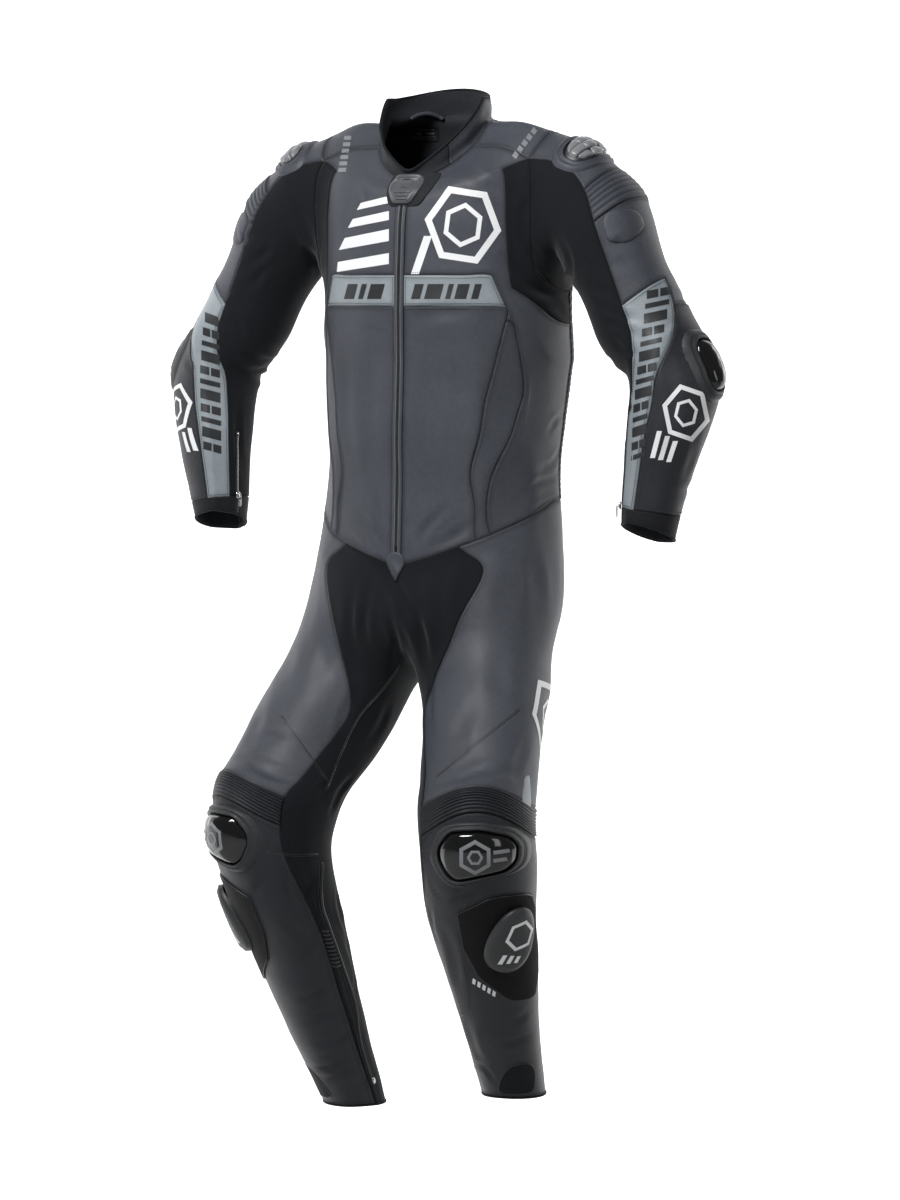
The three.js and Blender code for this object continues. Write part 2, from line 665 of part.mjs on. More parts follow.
const LOOKS = { chest_band: SILVER, forearm_strip: SILVER, crotch: STRETCH, underarm: STRETCH, inner_sleeve: STRETCH };
Object.assign(LOOKS, { cuff: STRETCH, zip: STRETCH, collar_front: STRETCH, side_strip: STRETCH, shin: DARK_LEATHER });
const RIBBED = table("name ribs height", [
  ["side_strip", 4, 1.2],
  ["shoulder_ribs", 5, 2.2],
  ["knee_ribs", 9, 2.2],
]);
const pieces = new Map();
for (const c of cells) {
  const name = owner(c);
  if (!pieces.has(name)) pieces.set(name, []);
  pieces.get(name).push(c);
}
for (const [name, list] of pieces) {
  const kind = name.replace(/_(left|right)$/, "");
  const rib = RIBBED.find((r) => r.name === kind);
  add(name, rib ? wall(list, rib.ribs, rib.height) : wall(list), LOOKS[kind] ?? LEATHER);
}

// Hard parts and sheets that lie on the cloth.

// A cap: an oval round a place on the cloth, seen along direction from origin. half is its half width
// and half height, rim its edge thickness and rise how much more its middle stands out. A hole leaves
// a ring, whose thickness follows a round section.
function cap(name, material, spec) {
  const direction = new THREE.Vector3(...spec.direction).normalize();
  const right = new THREE.Vector3(...(spec.up ?? [0, 0, 1])).cross(direction).normalize();
  const up = direction.clone().cross(right);
  const origin = new THREE.Vector3(...spec.origin);
  const hole = spec.hole ?? 0;
  const rayAt = (u, v) => ({
    origin: origin
      .clone()
      .addScaledVector(right, spec.half[0] * u * Math.cos(v))
      .addScaledVector(up, spec.half[1] * u * Math.sin(v)),
    direction,
  });
  const sectors = spec.sectors ?? 20;
  const us = hole ? range(hole, 1, 3) : range(0, 1, 3);
  const roundness = (u) => (hole ? Math.sin(((u - hole) / (1 - hole)) * Math.PI) : Math.sqrt(1 - u * u * 0.98));
  add(
    name,
    lie({
      where: spec.where,
      rayAt,
      us,
      vs: range(0, 2 * Math.PI, sectors).slice(0, sectors),
      closed: true,
      pole: !hole,
      gap: spec.gap ?? LAY_GAP,
      thick: (u) => spec.rim + spec.rise * roundness(u),
    }),
    material,
  );
}

// A sheet between two edges. rows gives for each height z the places from and to, which are x
// for a sheet on the front or back and an angle from the front for one on a leg.
function sheet(name, material, { where, rows, rayOf, steps, gap, thick, inside }) {
  const rowAt = (u) => {
    const i = Math.min(rows.length - 2, Math.floor(u));
    const t = u - i;
    const pick = (key) => mix(rows[i][key], rows[i + 1][key], t);
    return { z: pick("z"), from: pick("from"), to: pick("to") };
  };
  const rayAt = (u, v) => {
    const row = rowAt(u);
    return rayOf(mix(row.from, row.to, v), row.z);
  };
  const us = range(0, rows.length - 1, 2 * (rows.length - 1));
  add(name, lie({ where, rayAt, us, vs: range(0, 1, steps), gap, thick: () => thick, inside }), material);
}

const onTrunk = (t) => ["torso", "zip", "collar", "collarFront", "spine", "collarBack", "fly", "hips"].includes(t.tube);
const forwards = (x, z) => ({ origin: new THREE.Vector3(x, -20, z), direction: new THREE.Vector3(0, -1, 0) });

// The soft flap under the collar's notch, the hexagonal tab on it, and the zip's pointed end cover.
sheet("neck_flap", STRETCH, {
  where: onTrunk,
  rows: table("z from to", [[-37, -26, 48], [-48, -30, 47], [-64, -28, 40], [-82, -22, 28]]),
  rayOf: forwards, steps: 6, gap: 0.8, thick: 1.4,
});
sheet("neck_badge", GREY_PLASTIC, {
  where: onTrunk,
  rows: table("z from to", [[-39, -19, 19], [-50, -26, 26], [-65, -22, 22], [-78, -13, 13]]),
  rayOf: forwards, steps: 6, gap: 4.4, thick: 2.2,
});
sheet("zip_cover", LEATHER, {
  where: onTrunk,
  rows: table("z from to", [[-554, -8, 8], [-564, -14, 14], [-576, -14, 14], [-588, -7, 7], [-596, -2, 2]]),
  rayOf: forwards, steps: 4, gap: 0.9, thick: 1.8,
});
// Inside the back of the neck: a blank cloth label and the loop that the suit hangs by.
const NECK_TURN = -43; // both sit this far round from the middle of the back, in degrees
const inNeck = (angle, z) => ({
  origin: new THREE.Vector3(0, NECK_Y, z),
  direction: new THREE.Vector3(Math.sin((angle + NECK_TURN) * DEG), Math.cos((angle + NECK_TURN) * DEG), 0),
});
sheet("label", STRETCH, {
  where: onTrunk,
  rows: table("z from to", [[12, -13, 13], [30, -13, 13]]),
  rayOf: inNeck, steps: 4, gap: WALL + 1, thick: 0.8, inside: true,
});
sheet("hanging_loop", LEATHER, {
  where: onTrunk,
  rows: table("z from to", [[44, -20, 20], [50, -20, 20]]),
  rayOf: inNeck, steps: 8, gap: WALL + 1, thick: 1.6, inside: true,
});

const SLIDER = { wide: 7, long: 10, deep: 4 };
const PULL = { wide: 5.5, long: 20, deep: 1.6 };
for (const side of SIDES) {
  const s = sign(side);
  const onArm = (t) => t.tube === "sleeves" && t.side === side;
  const onLeg = (t) => t.tube === "legs" && t.side === side;
  cap(`shoulder_cup_${side}`, GREY_PLASTIC, {
    where: onArm, origin: [s * 215, -21, -34], direction: [s * 0.51, -0.23, 0.83], up: [0, 1, 0],
    half: [22, 38], rim: 2, rise: 7,
  });
  cap(`elbow_cup_${side}`, GLOSS, {
    where: onArm, origin: [s * 364, -28, -303], direction: [s, -0.05, 0.12],
    half: [34, 52], rim: 2.5, rise: 9, gap: 3,
  });
  const knee = { where: onLeg, origin: [s * 163, -204, -951], direction: [s * 0.5, -0.866, 0.03] };
  cap(`knee_ring_${side}`, LEATHER, { ...knee, half: [70, 47], hole: 0.79, rim: 2.5, rise: 7, gap: 1.6 });
  cap(`knee_cup_${side}`, GLOSS, { ...knee, half: [53, 35], rim: 3, rise: 10 });

  // The hook panel on the outside of the shin and the slider puck on it.
  const shinRay = (angle, z) => {
    const turn = (angle + 30) * DEG;
    const t = clamp((-1010 - z) / 175);
    return {
      origin: new THREE.Vector3(s * mix(160, 141, t), mix(-196, -112, t), z),
      direction: new THREE.Vector3(s * Math.sin(turn), -Math.cos(turn), 0),
    };
  };
  sheet(`shin_patch_${side}`, HOOK_PILE, {
    where: onLeg,
    rows: table("z from to", [[-1008, 4, 66], [-1030, -26, 74], [-1080, -26, 76], [-1120, -14, 74], [-1152, 14, 60]]),
    rayOf: shinRay, steps: 8, gap: 1.8, thick: 1.6,
  });
  cap(`knee_puck_${side}`, GLOSS, {
    where: onLeg, origin: [s * 153, -176, -1063], direction: [s * 0.88, -0.47, -0.06],
    half: [34, 48], rim: 5, rise: 8, gap: 6.2,
  });

  // The cuff zip's slider and the tab that hangs from it, on the inner front of the wrist.
  const wrist = new THREE.Vector3(s * 346, -56, -487);
  const outward = new THREE.Vector3(-s * 0.94, -0.34, 0).normalize();
  const far = hit(onArm, wrist, outward);
  const place = (name, size, out, down, material) => {
    const mesh = add(name, new THREE.BoxGeometry(size.wide, size.deep, size.long), material);
    mesh.position.copy(wrist).addScaledVector(outward, far + out);
    mesh.position.z -= down;
    mesh.rotation.z = Math.atan2(outward.y, outward.x) - Math.PI / 2;
  };
  place(`cuff_slider_${side}`, SLIDER, 1.2 + SLIDER.deep / 2, 0, METAL);
  place(`cuff_pull_${side}`, PULL, 2.2 + SLIDER.deep + PULL.deep / 2, PULL.long / 2 - 3, METAL);
}

export default group;
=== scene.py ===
"""Motorcycle race suit, filled out as worn: leather, stretch cloth, hard caps, zips and sewing."""
import json
import math

import bpy
import numpy as np
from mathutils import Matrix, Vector, noise
from mathutils.bvhtree import BVHTree
from mathutils.kdtree import KDTree

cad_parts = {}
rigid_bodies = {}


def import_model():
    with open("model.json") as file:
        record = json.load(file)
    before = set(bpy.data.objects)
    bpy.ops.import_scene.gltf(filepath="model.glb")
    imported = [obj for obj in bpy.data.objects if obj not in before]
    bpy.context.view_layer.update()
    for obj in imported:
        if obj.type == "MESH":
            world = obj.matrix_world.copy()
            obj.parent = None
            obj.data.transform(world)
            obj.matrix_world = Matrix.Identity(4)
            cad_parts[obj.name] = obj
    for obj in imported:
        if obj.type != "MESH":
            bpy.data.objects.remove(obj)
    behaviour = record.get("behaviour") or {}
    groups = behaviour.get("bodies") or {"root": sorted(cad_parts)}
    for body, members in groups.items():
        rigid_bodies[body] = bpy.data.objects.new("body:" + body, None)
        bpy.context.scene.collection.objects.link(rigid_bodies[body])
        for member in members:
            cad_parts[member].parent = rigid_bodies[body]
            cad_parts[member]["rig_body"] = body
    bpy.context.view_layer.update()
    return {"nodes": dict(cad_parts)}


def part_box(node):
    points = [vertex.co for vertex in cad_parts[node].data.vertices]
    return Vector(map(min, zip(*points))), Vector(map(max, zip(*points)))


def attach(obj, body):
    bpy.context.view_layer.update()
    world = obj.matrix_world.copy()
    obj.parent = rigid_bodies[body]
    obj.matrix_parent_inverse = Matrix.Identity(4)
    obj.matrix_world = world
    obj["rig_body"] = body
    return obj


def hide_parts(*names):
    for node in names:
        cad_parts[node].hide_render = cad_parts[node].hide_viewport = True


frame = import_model()

# Sizes in millimetres, as in the part's own tables; the scene is in metres.
MM = 0.001
WALL = 2.2
ZIP_HALF = 6.5

# Columns and rows of the cage at which the seams run.
HALF = 15
PANT_EDGE = 3
LENS_IN = 4
LENS_OUT = 5
ARM_FRONT = 6
ARM_BACK = 10
SIDE = 8
STRIP = 9
LENS_TOP = 6
BAND = 7
UNDERARM = 9
TIP = 13
NECK = 15
KNEE_TOP = 5
CAP_RIBS = 2
FOREARM = 5
CUFF = 13
RIGHT_DROP = 34
KNEE_Z = -940
SIDES = ("left", "right")


def table(columns, rows):
    names = columns.split()
    return [dict(zip(names, row)) for row in rows]


# Torso sections from the waist seam up to the neckline.
TORSO = table(
    "z_front z_side z_back half front rear centre_y round dip lens_in lens_out",
    [
        [-575, -486, -480, 174, 134, 96, -14, 2.2, 0, 38, 46],
        [-520, -455, -450, 170, 134, 104, -12, 2.2, 0, 38, 44],
        [-462, -424, -415, 169, 135, 108, -9, 2.2, 0, 35, 48],
        [-404, -394, -382, 171, 137, 114, -7, 2.2, 0, 39, 57],
        [-348, -364, -350, 173, 137, 120, -5, 2.2, 0, 41, 61],
        [-290, -334, -318, 176, 137, 124, -3, 2.2, 0, 44, 63],
        [-236, -305, -286, 180, 137, 125, -3, 2.2, 1, 51, 55],
        [-219, -288, -262, 182, 137, 125, -3, 2.2, 1, 50, 56],
        [-176, -245, -226, 183, 136, 123, -3, 2.2, 1, 42, 52],
        [-150, -200, -180, 184, 133, 119, -4, 2.2, 2, 40, 49],
        [-124, -146, -130, 183, 129, 112, -7, 2.2, 2, 39, 48],
        [-100, -92, -80, 182, 122, 103, -12, 2.2, 2, 38, 48],
        [-78, -36, -30, 179, 110, 92, -20, 2.2, 2, 38, 50],
        [-62, 24, 14, 174, 96, 82, -28, 2.2, 2, 39, 55],
        [-54, 34, 36, 124, 82, 74, -34, 2.1, 2, 40, 56],
        [-46, 33, 48, 80, 76, 76, -34, 2.0, 2, 42, 58],
    ],
)
# Hip sections from the waist seam down to where the legs part.
HIPS = table(
    "z_front z_side z_back half front rear centre_y round edge",
    [
        [-606, -535, -536, 179, 136, 104, -20, 2.2, 42],
        [-640, -595, -602, 186, 134, 112, -32, 2.2, 34],
        [-672, -652, -668, 194, 126, 116, -48, 2.3, 28],
    ],
)
# Leg sections from the crotch to the hem.
LEGS = table(
    "z x y wide deep facing edge outer arch cross",
    [
        [-722, 109, -92, 90, 101, 12, -62, 92, 0, 26],
        [-762, 120, -107, 87, 99, 17, -62, 92, 0, 24],
        [-800, 130, -133, 85, 96, 22, -60, 92, 0, 30],
        [-846, 142, -164, 82, 92, 27, -62, 92, 10, 22],
        [-896, 154, -195, 80, 88, 30, -66, 92, 40, 0],
        [-932, 161, -206, 79, 86, 30, -70, 92, 43, 0],
        [-968, 165, -207, 79, 83, 30, -76, 92, 10, 0],
        [-1010, 160, -196, 77, 77, 30, -84, 92, 0, 0],
        [-1050, 154, -180, 73, 73, 30, -90, 92, 0, 0],
        [-1095, 150, -157, 68, 68, 30, -95, 94, 0, 0],
        [-1140, 146, -135, 62, 63, 30, -97, 96, 0, 0],
        [-1185, 141, -112, 56, 58, 28, -98, 98, 0, 0],
        [-1230, 137, -89, 51, 53, 26, -98, 100, 0, 0],
        [-1273, 132, -65, 47, 48, 25, -98, 100, 0, 0],
        [-1308, 129, -46, 44, 44, 25, -98, 100, 0, 0],
    ],
)
# Sleeve sections from the shoulder to the cuff.
SLEEVES = table(
    "x y z tilt up front slant cross edge silver",
    [
        [212, -12, -64, 16, 86, 78, 0, 0, 50, 0],
        [237, -15, -92, 36, 81, 75, 0, 0, 63, 2],
        [256, -18, -121, 46, 74, 71, 0, 0, 72, 3],
        [285, -23, -178, 56, 63, 64, 0, 0, 76, 6],
        [306, -27, -220, 60, 59, 61, 6, 12, 78, 10],
        [326, -27, -252, 60, 58, 60, 4, 10, 86, 18],
        [346, -26, -280, 68, 59, 61, 0, 6, 106, 46],
        [363, -26, -308, 82, 62, 62, 0, 0, 128, 84],
        [368, -32, -340, 90, 61, 60, 0, 0, 138, 92],
        [364, -40, -375, 96, 57, 56, 0, 0, 142, 95],
        [358, -47, -415, 96, 51, 51, 0, 0, 144, 97],
        [352, -52, -455, 96, 45, 46, 2, 0, 145, 98],
        [346, -56, -494, 97, 40, 42, -2, 0, 145, 98],
        [343, -59, -523, 98, 36, 38, -14, 0, 145, 98],
    ],
)
CROTCH_LINE = table("y z spread", [[-92, -728, 1.3], [-8, -738, 1.5]])
COLLAR = table("rise lean inset notch", [[16, -3, 2, 6], [34, -7, 3, 24]])
NECK_Y = TORSO[NECK]["centre_y"]


def mix(a, b, t):
    return a + (b - a) * t


def smooth(low, high, t):
    u = min(1.0, max(0.0, (t - low) / (high - low)))
    return u * u * (3 - 2 * u)


def sign(side):
    return 1 if side == "left" else -1


def sin(angle):
    return math.sin(math.radians(angle))


def cos(angle):
    return math.cos(math.radians(angle))


def spread(marks):
    """Evenly spaced values between marks of (index, value)."""
    values = []
    for (start, a), (end, b) in zip(marks, marks[1:]):
        values += [mix(a, b, (i - start) / (end - start)) for i in range(start, end)]
    return values + [marks[-1][1]]


# The cage: every seam of the suit runs along its edges.
points = []
cells = []


def add_point(x, y, z):
    points.append((x, y, z))
    return len(points) - 1


def front_share(row, angle):
    if angle > 90:
        return 0
    if row.get("dip", 0) == 0:
        return 1 - angle / 90
    if row["dip"] == 1:
        return 1 - smooth(46, 88, angle)
    return 1 - (angle / 90) ** 1.7


def body_point(row, angle, side):
    s = abs(sin(angle)) ** (2 / row["round"])
    c = abs(cos(angle)) ** (2 / row["round"])
    is_front = angle < 90
    y = row["centre_y"] + (-row["front"] if is_front else row["rear"]) * c
    share = front_share(row, angle) if is_front else cos(angle) ** 2
    z = mix(row["z_side"], row["z_front"] if is_front else row["z_back"], share)
    return add_point(sign(side) * row["half"] * s, y, z)


def zip_angle(row):
    return math.degrees(math.asin((ZIP_HALF / row["half"]) ** (row["round"] / 2)))


def torso_angles(row):
    first = zip_angle(row)
    return spread(
        [
            (0, first),
            (LENS_IN, row["lens_in"]),
            (LENS_OUT, row["lens_out"]),
            (ARM_FRONT, 67),
            (SIDE, 90),
            (STRIP, 101),
            (ARM_BACK, 113),
            (HALF, 180 - first),
        ]
    )


def hip_angles(row):
    first = zip_angle(row)
    return spread(
        [
            (0, first),
            (PANT_EDGE, row["edge"]),
            (LENS_OUT, mix(row["edge"], 67, 0.45)),
            (SIDE, 90),
            (STRIP, 101),
            (ARM_BACK, 113),
            (HALF, 180 - first),
        ]
    )


LEG_COLUMNS = HALF + 1 + len(CROTCH_LINE)


def leg_angles(row):
    marks = [(0, row["edge"] - 30), (PANT_EDGE, row["edge"]), (STRIP, row["outer"])]
    marks += [(HALF, 205), (LEG_COLUMNS, row["edge"] + 330)]
    return spread(marks)[:LEG_COLUMNS]


SLEEVE_COLUMNS = 2 * (ARM_BACK - ARM_FRONT) + 2 * (TIP - UNDERARM)
SLEEVE_EDGE = SIDE - ARM_FRONT
SLEEVE_BACK = SLEEVE_COLUMNS - (ARM_BACK - SIDE) - 1


def sleeve_angles(row):
    marks = [(0, row["silver"]), (SLEEVE_EDGE, row["edge"]), (SLEEVE_BACK, 265)]
    return spread(marks + [(SLEEVE_COLUMNS, row["silver"] + 360)])[:SLEEVE_COLUMNS]


def leg_ring(row, side):
    ring = []
    drop = 0
    if side == "right":
        drop = RIGHT_DROP * smooth(0, 1, (row["z"] - KNEE_Z) / (LEGS[-1]["z"] - KNEE_Z))
    for angle in leg_angles(row):
        across = row["wide"] * sin(angle)
        along = row["deep"] * cos(angle)
        lift = row["arch"] * max(0, cos(angle)) ** 2 + row["cross"] * sin(angle)
        x = row["x"] + across * cos(row["facing"]) + along * sin(row["facing"])
        y = row["y"] + across * sin(row["facing"]) - along * cos(row["facing"])
        ring.append(add_point(sign(side) * x, y, row["z"] + lift - drop))
    return ring


def armhole(side):
    t = torso[side]
    loop = [t[TIP][j] for j in range(SIDE, ARM_FRONT, -1)]
    loop += [t[i][ARM_FRONT] for i in range(TIP, UNDERARM, -1)]
    loop += [t[UNDERARM][j] for j in range(ARM_FRONT, ARM_BACK)]
    loop += [t[i][ARM_BACK] for i in range(UNDERARM, TIP)]
    return loop + [t[TIP][j] for j in range(ARM_BACK, SIDE, -1)]


def sleeve_ring(row, side):
    ring = []
    for angle in sleeve_angles(row):
        up = row["up"] * cos(angle)
        front = row["front"] * sin(angle)
        lift = row["cross"] * cos(angle) - row["slant"] * sin(angle)
        x = row["x"] + up * sin(row["tilt"])
        ring.append(add_point(sign(side) * x, row["y"] - front, row["z"] + up * cos(row["tilt"]) + lift))
    return ring


def collar_ring(row, side):
    ring = []
    for j, angle in enumerate(torso_angles(TORSO[NECK])):
        x, y, z = points[torso[side][NECK][j]]
        front = (1 - angle / 90) ** 2.2 if angle < 90 else 0
        reach = math.hypot(x, y - NECK_Y)
        s = (reach - row["inset"]) / reach
        x = x if j in (0, HALF) else x * s
        y = NECK_Y + (y - NECK_Y) * s + row["lean"]
        ring.append(add_point(x, y, z + row["rise"] - row["notch"] * front))
    return ring


torso, hips, legs, sleeves, collar, crotch_line = {}, {}, {}, {}, {}, {}
for side in SIDES:
    torso[side] = []
    for i, row in enumerate(TORSO):
        ring = []
        for j, angle in enumerate(torso_angles(row)):
            inside = UNDERARM < i < TIP and ARM_FRONT < j < ARM_BACK
            ring.append(-1 if inside else body_point(row, angle, side))
        torso[side].append(ring)
    hips[side] = [torso[side][0]]
    hips[side] += [[body_point(row, a, side) for a in hip_angles(row)] for row in HIPS]
for side in SIDES:
    crotch_line[side] = [
        add_point(sign(side) * ZIP_HALF * p["spread"], p["y"], p["z"]) for p in CROTCH_LINE
    ]
    legs[side] = [hips[side][-1] + crotch_line[side][::-1]]
    legs[side] += [leg_ring(row, side) for row in LEGS]
    sleeves[side] = [armhole(side)] + [sleeve_ring(row, side) for row in SLEEVES]
    collar[side] = [torso[side][NECK]] + [collar_ring(row, side) for row in COLLAR]


def add_cells(tube, side, rows, closed):
    for i in range(len(rows) - 1):
        n = len(rows[i])
        for j in range(n if closed else n - 1):
            k = (j + 1) % n
            in_armhole = UNDERARM <= i < TIP and ARM_FRONT <= j < ARM_BACK
            if tube == "torso" and in_armhole:
                continue
            corners = [rows[i][j], rows[i][k], rows[i + 1][k], rows[i + 1][j]]
            cells.append({"tube": tube, "side": side, "row": i, "col": j, "corners": corners})


def add_strip(tube, left_line, right_line):
    for i in range(len(left_line) - 1):
        corners = [right_line[i], left_line[i], left_line[i + 1], right_line[i + 1]]
        cells.append({"tube": tube, "side": "middle", "row": i, "col": 0, "corners": corners})


def line(grid, side, j):
    return [row[j] for row in grid[side]]


for side in SIDES:
    add_cells("torso", side, torso[side], False)
    add_cells("hips", side, hips[side], False)
    add_cells("legs", side, legs[side], True)
    add_cells("sleeves", side, sleeves[side], True)
    add_cells("collar", side, collar[side], False)
add_strip("zip", line(torso, "left", 0), line(torso, "right", 0))
add_strip("spine", line(torso, "left", HALF), line(torso, "right", HALF))
add_strip("collar_front", line(collar, "left", 0), line(collar, "right", 0))
add_strip("collar_back", line(collar, "left", HALF), line(collar, "right", HALF))
add_strip("fly", line(hips, "left", 0), line(hips, "right", 0))
add_strip("seat_seam", line(hips, "left", HALF), line(hips, "right", HALF))
gusset_lines = [[hips[s][-1][0], *crotch_line[s], hips[s][-1][HALF]] for s in SIDES]
add_strip("gusset", *gusset_lines)

P = np.array(points, float)
corners = np.array([c["corners"] for c in cells])
GRIDS = {"legs": legs, "sleeves": sleeves}


def tube_middle(c):
    mid = P[c["corners"]].mean(axis=0)
    if c["tube"] in GRIDS:
        grid = GRIDS[c["tube"]][c["side"]]
        return P[grid[c["row"]] + grid[c["row"] + 1]].mean(axis=0)
    if c["tube"] == "gusset":
        return np.array([0, -50, -600])
    if c["tube"].startswith("collar"):
        return np.array([0, NECK_Y, mid[2]])
    return np.array([0, -20, min(mid[2], -150)])


# A cell keeps which of its corners is its own lower left, so that u runs round the tube and v along it.
for c in cells:
    a, b, d, e = P[c["corners"]]
    outwards = np.cross(d - a, e - b) @ (P[c["corners"]].mean(axis=0) - tube_middle(c)) > 0
    c["uv"] = [(0, 0), (1, 0), (1, 1), (0, 1)]
    if not outwards:
        c["corners"] = c["corners"][::-1]
        c["uv"] = c["uv"][::-1]

# Relaxing the cage round the armholes and the crotch.
near = {}
for c in cells:
    for k in range(4):
        a, b = c["corners"][k], c["corners"][(k + 1) % 4]
        near.setdefault(a, set()).add(b)
        near.setdefault(b, set()).add(a)
relaxed = {}
for side in SIDES:
    for i in range(UNDERARM - 1, TIP + 1):
        for j in range(ARM_FRONT - 1, ARM_BACK + 2):
            if torso[side][i][j] >= 0:
                relaxed[torso[side][i][j]] = 0.5
    relaxed.update({p: 0.5 for i in (1, 2) for p in sleeves[side][i]})
    relaxed.update({p: 0.4 for p in legs[side][0]})
    relaxed.update({p: 0.5 for p in legs[side][1]})
for _ in range(3):
    moved = {p: mix(P[p], P[list(near[p])].mean(axis=0), w) for p, w in relaxed.items()}
    for p, at in moved.items():
        P[p] = at

# The smooth skin that passes through the cage's points.
LEVEL = 3
STEPS = 2**LEVEL


def mesh_of(name, verts, faces):
    mesh = bpy.data.meshes.new(name)
    mesh.from_pydata([tuple(v) for v in verts], [], [tuple(int(i) for i in f) for f in faces])
    return mesh


def object_of(name, mesh):
    obj = bpy.data.objects.new(name, mesh)
    bpy.context.scene.collection.objects.link(obj)
    return obj


def smooth_skin():
    """Positions, normals, quads, and for every quad its cell and the cell's own u and v at its corners."""
    cage = mesh_of("cage", P, [c["corners"] for c in cells])
    uv_layer = cage.uv_layers.new(name="place")
    marks = [(2 * n + u, v) for n, c in enumerate(cells) for u, v in c["uv"]]
    uv_layer.data.foreach_set("uv", np.array(marks, np.float32).ravel())
    obj = object_of("cage", cage)
    subdivide = obj.modifiers.new("smooth", "SUBSURF")
    subdivide.levels = LEVEL
    subdivide.uv_smooth = "NONE"
    subdivide.boundary_smooth = "ALL"
    goal = np.array(P)
    at = np.array(P)
    for _ in range(6):
        cage.vertices.foreach_set("co", at.astype(np.float32).ravel())
        cage.update()
        bpy.context.view_layer.update()
        shown = obj.evaluated_get(bpy.context.evaluated_depsgraph_get())
        fine = shown.to_mesh()
        co = np.empty(len(fine.vertices) * 3, np.float32)
        fine.vertices.foreach_get("co", co)
        co = co.reshape(-1, 3)
        at = at + (goal - co[: len(goal)])
    normals = np.empty(len(fine.vertices) * 3, np.float32)
    fine.vertices.foreach_get("normal", normals)
    quads = np.empty(len(fine.loops), np.int32)
    fine.loops.foreach_get("vertex_index", quads)
    uv = np.empty(len(fine.loops) * 2, np.float32)
    fine.uv_layers[0].data.foreach_get("uv", uv)
    uv = uv.reshape(-1, 4, 2)
    cell = (uv[:, :, 0].mean(axis=1) // 2).astype(int)
    uv[:, :, 0] -= 2 * cell[:, None]
    result = co.astype(float).copy(), normals.reshape(-1, 3).astype(float), quads.reshape(-1, 4), cell, uv
    shown.to_mesh_clear()
    bpy.data.objects.remove(obj)
    bpy.data.meshes.remove(cage)
    return result


skin, skin_normals, quads, quad_cell, quad_uv = smooth_skin()
tree = BVHTree.FromPolygons([Vector(p) for p in skin.tolist()], quads.tolist())


def owner(c):
    """The piece that a cell belongs to."""
    tube, side, row, col = c["tube"], c["side"], c["row"], c["col"]
    single = {"zip": "zip", "spine": "back", "seat_seam": "seat", "fly": "crotch", "gusset": "crotch"}
    if tube in single:
        return single[tube]
    if tube.startswith("collar"):
        if tube != "collar":
            return tube
        return "collar_front" if col < LENS_IN else "collar_back"
    if tube == "torso":
        if row >= TIP:
            return f"chest_{side}" if col < ARM_FRONT else "back"
        if col >= ARM_BACK:
            return "back"
        if row >= UNDERARM:
            return f"chest_{side}" if col < LENS_OUT else f"underarm_{side}"
        if col == STRIP:
            return f"side_strip_{side}"
        if row > BAND:
            return f"chest_{side}" if col < LENS_OUT else f"underarm_{side}"
        if row == BAND:
            return f"chest_band_{side}" if col < LENS_IN else f"chest_{side}"
        if col < LENS_IN:
            return f"front_{side}"
        return f"waist_inset_{side}" if row < LENS_TOP and col == LENS_IN else f"chest_{side}"
    if tube == "hips":
        if col < PANT_EDGE:
            return "crotch"
        return f"thigh_{side}" if col < ARM_BACK else "seat"
    if tube == "legs":
        if col < PANT_EDGE or col >= HALF:
            return "crotch"
        if row < KNEE_TOP:
            return f"thigh_{side}"
        return f"knee_ribs_{side}" if row == KNEE_TOP and col <= STRIP else f"shin_{side}"
    if row >= CUFF:
        return f"cuff_{side}"
    if SLEEVE_EDGE <= col < SLEEVE_BACK:
        return f"inner_sleeve_{side}"
    if row < CAP_RIBS:
        return f"shoulder_{side}"
    if row == CAP_RIBS:
        return f"shoulder_ribs_{side}"
    if row >= FOREARM and col < SLEEVE_EDGE:
        return f"forearm_strip_{side}"
    return f"upper_arm_{side}" if row < FOREARM + 1 else f"forearm_{side}"


owners = [owner(c) for c in cells]
piece_names = sorted(set(owners))
quad_owner = np.array([piece_names.index(o) for o in owners])[quad_cell]
place = quad_uv + np.array([[c["col"], c["row"]] for c in cells])[quad_cell][:, None, :]

height = np.zeros(len(skin))


def bare(name):
    for end in ("_left", "_right"):
        name = name.removesuffix(end)
    return name


RIBBED = {"side_strip": (4, 1.0), "shoulder_ribs": (6, 2.0), "knee_ribs": (9, 2.2)}
RING = ((-0.4, 1.5), (0.5, 0.55), (1.4, 0.0))
# How far in millimetres the painted shade beside a seam reaches.
SEAM_SHADE = 9
FOLD_GAIN = 1.4


def unit(v):
    return v / np.maximum(np.linalg.norm(v, axis=-1, keepdims=True), 1e-12)


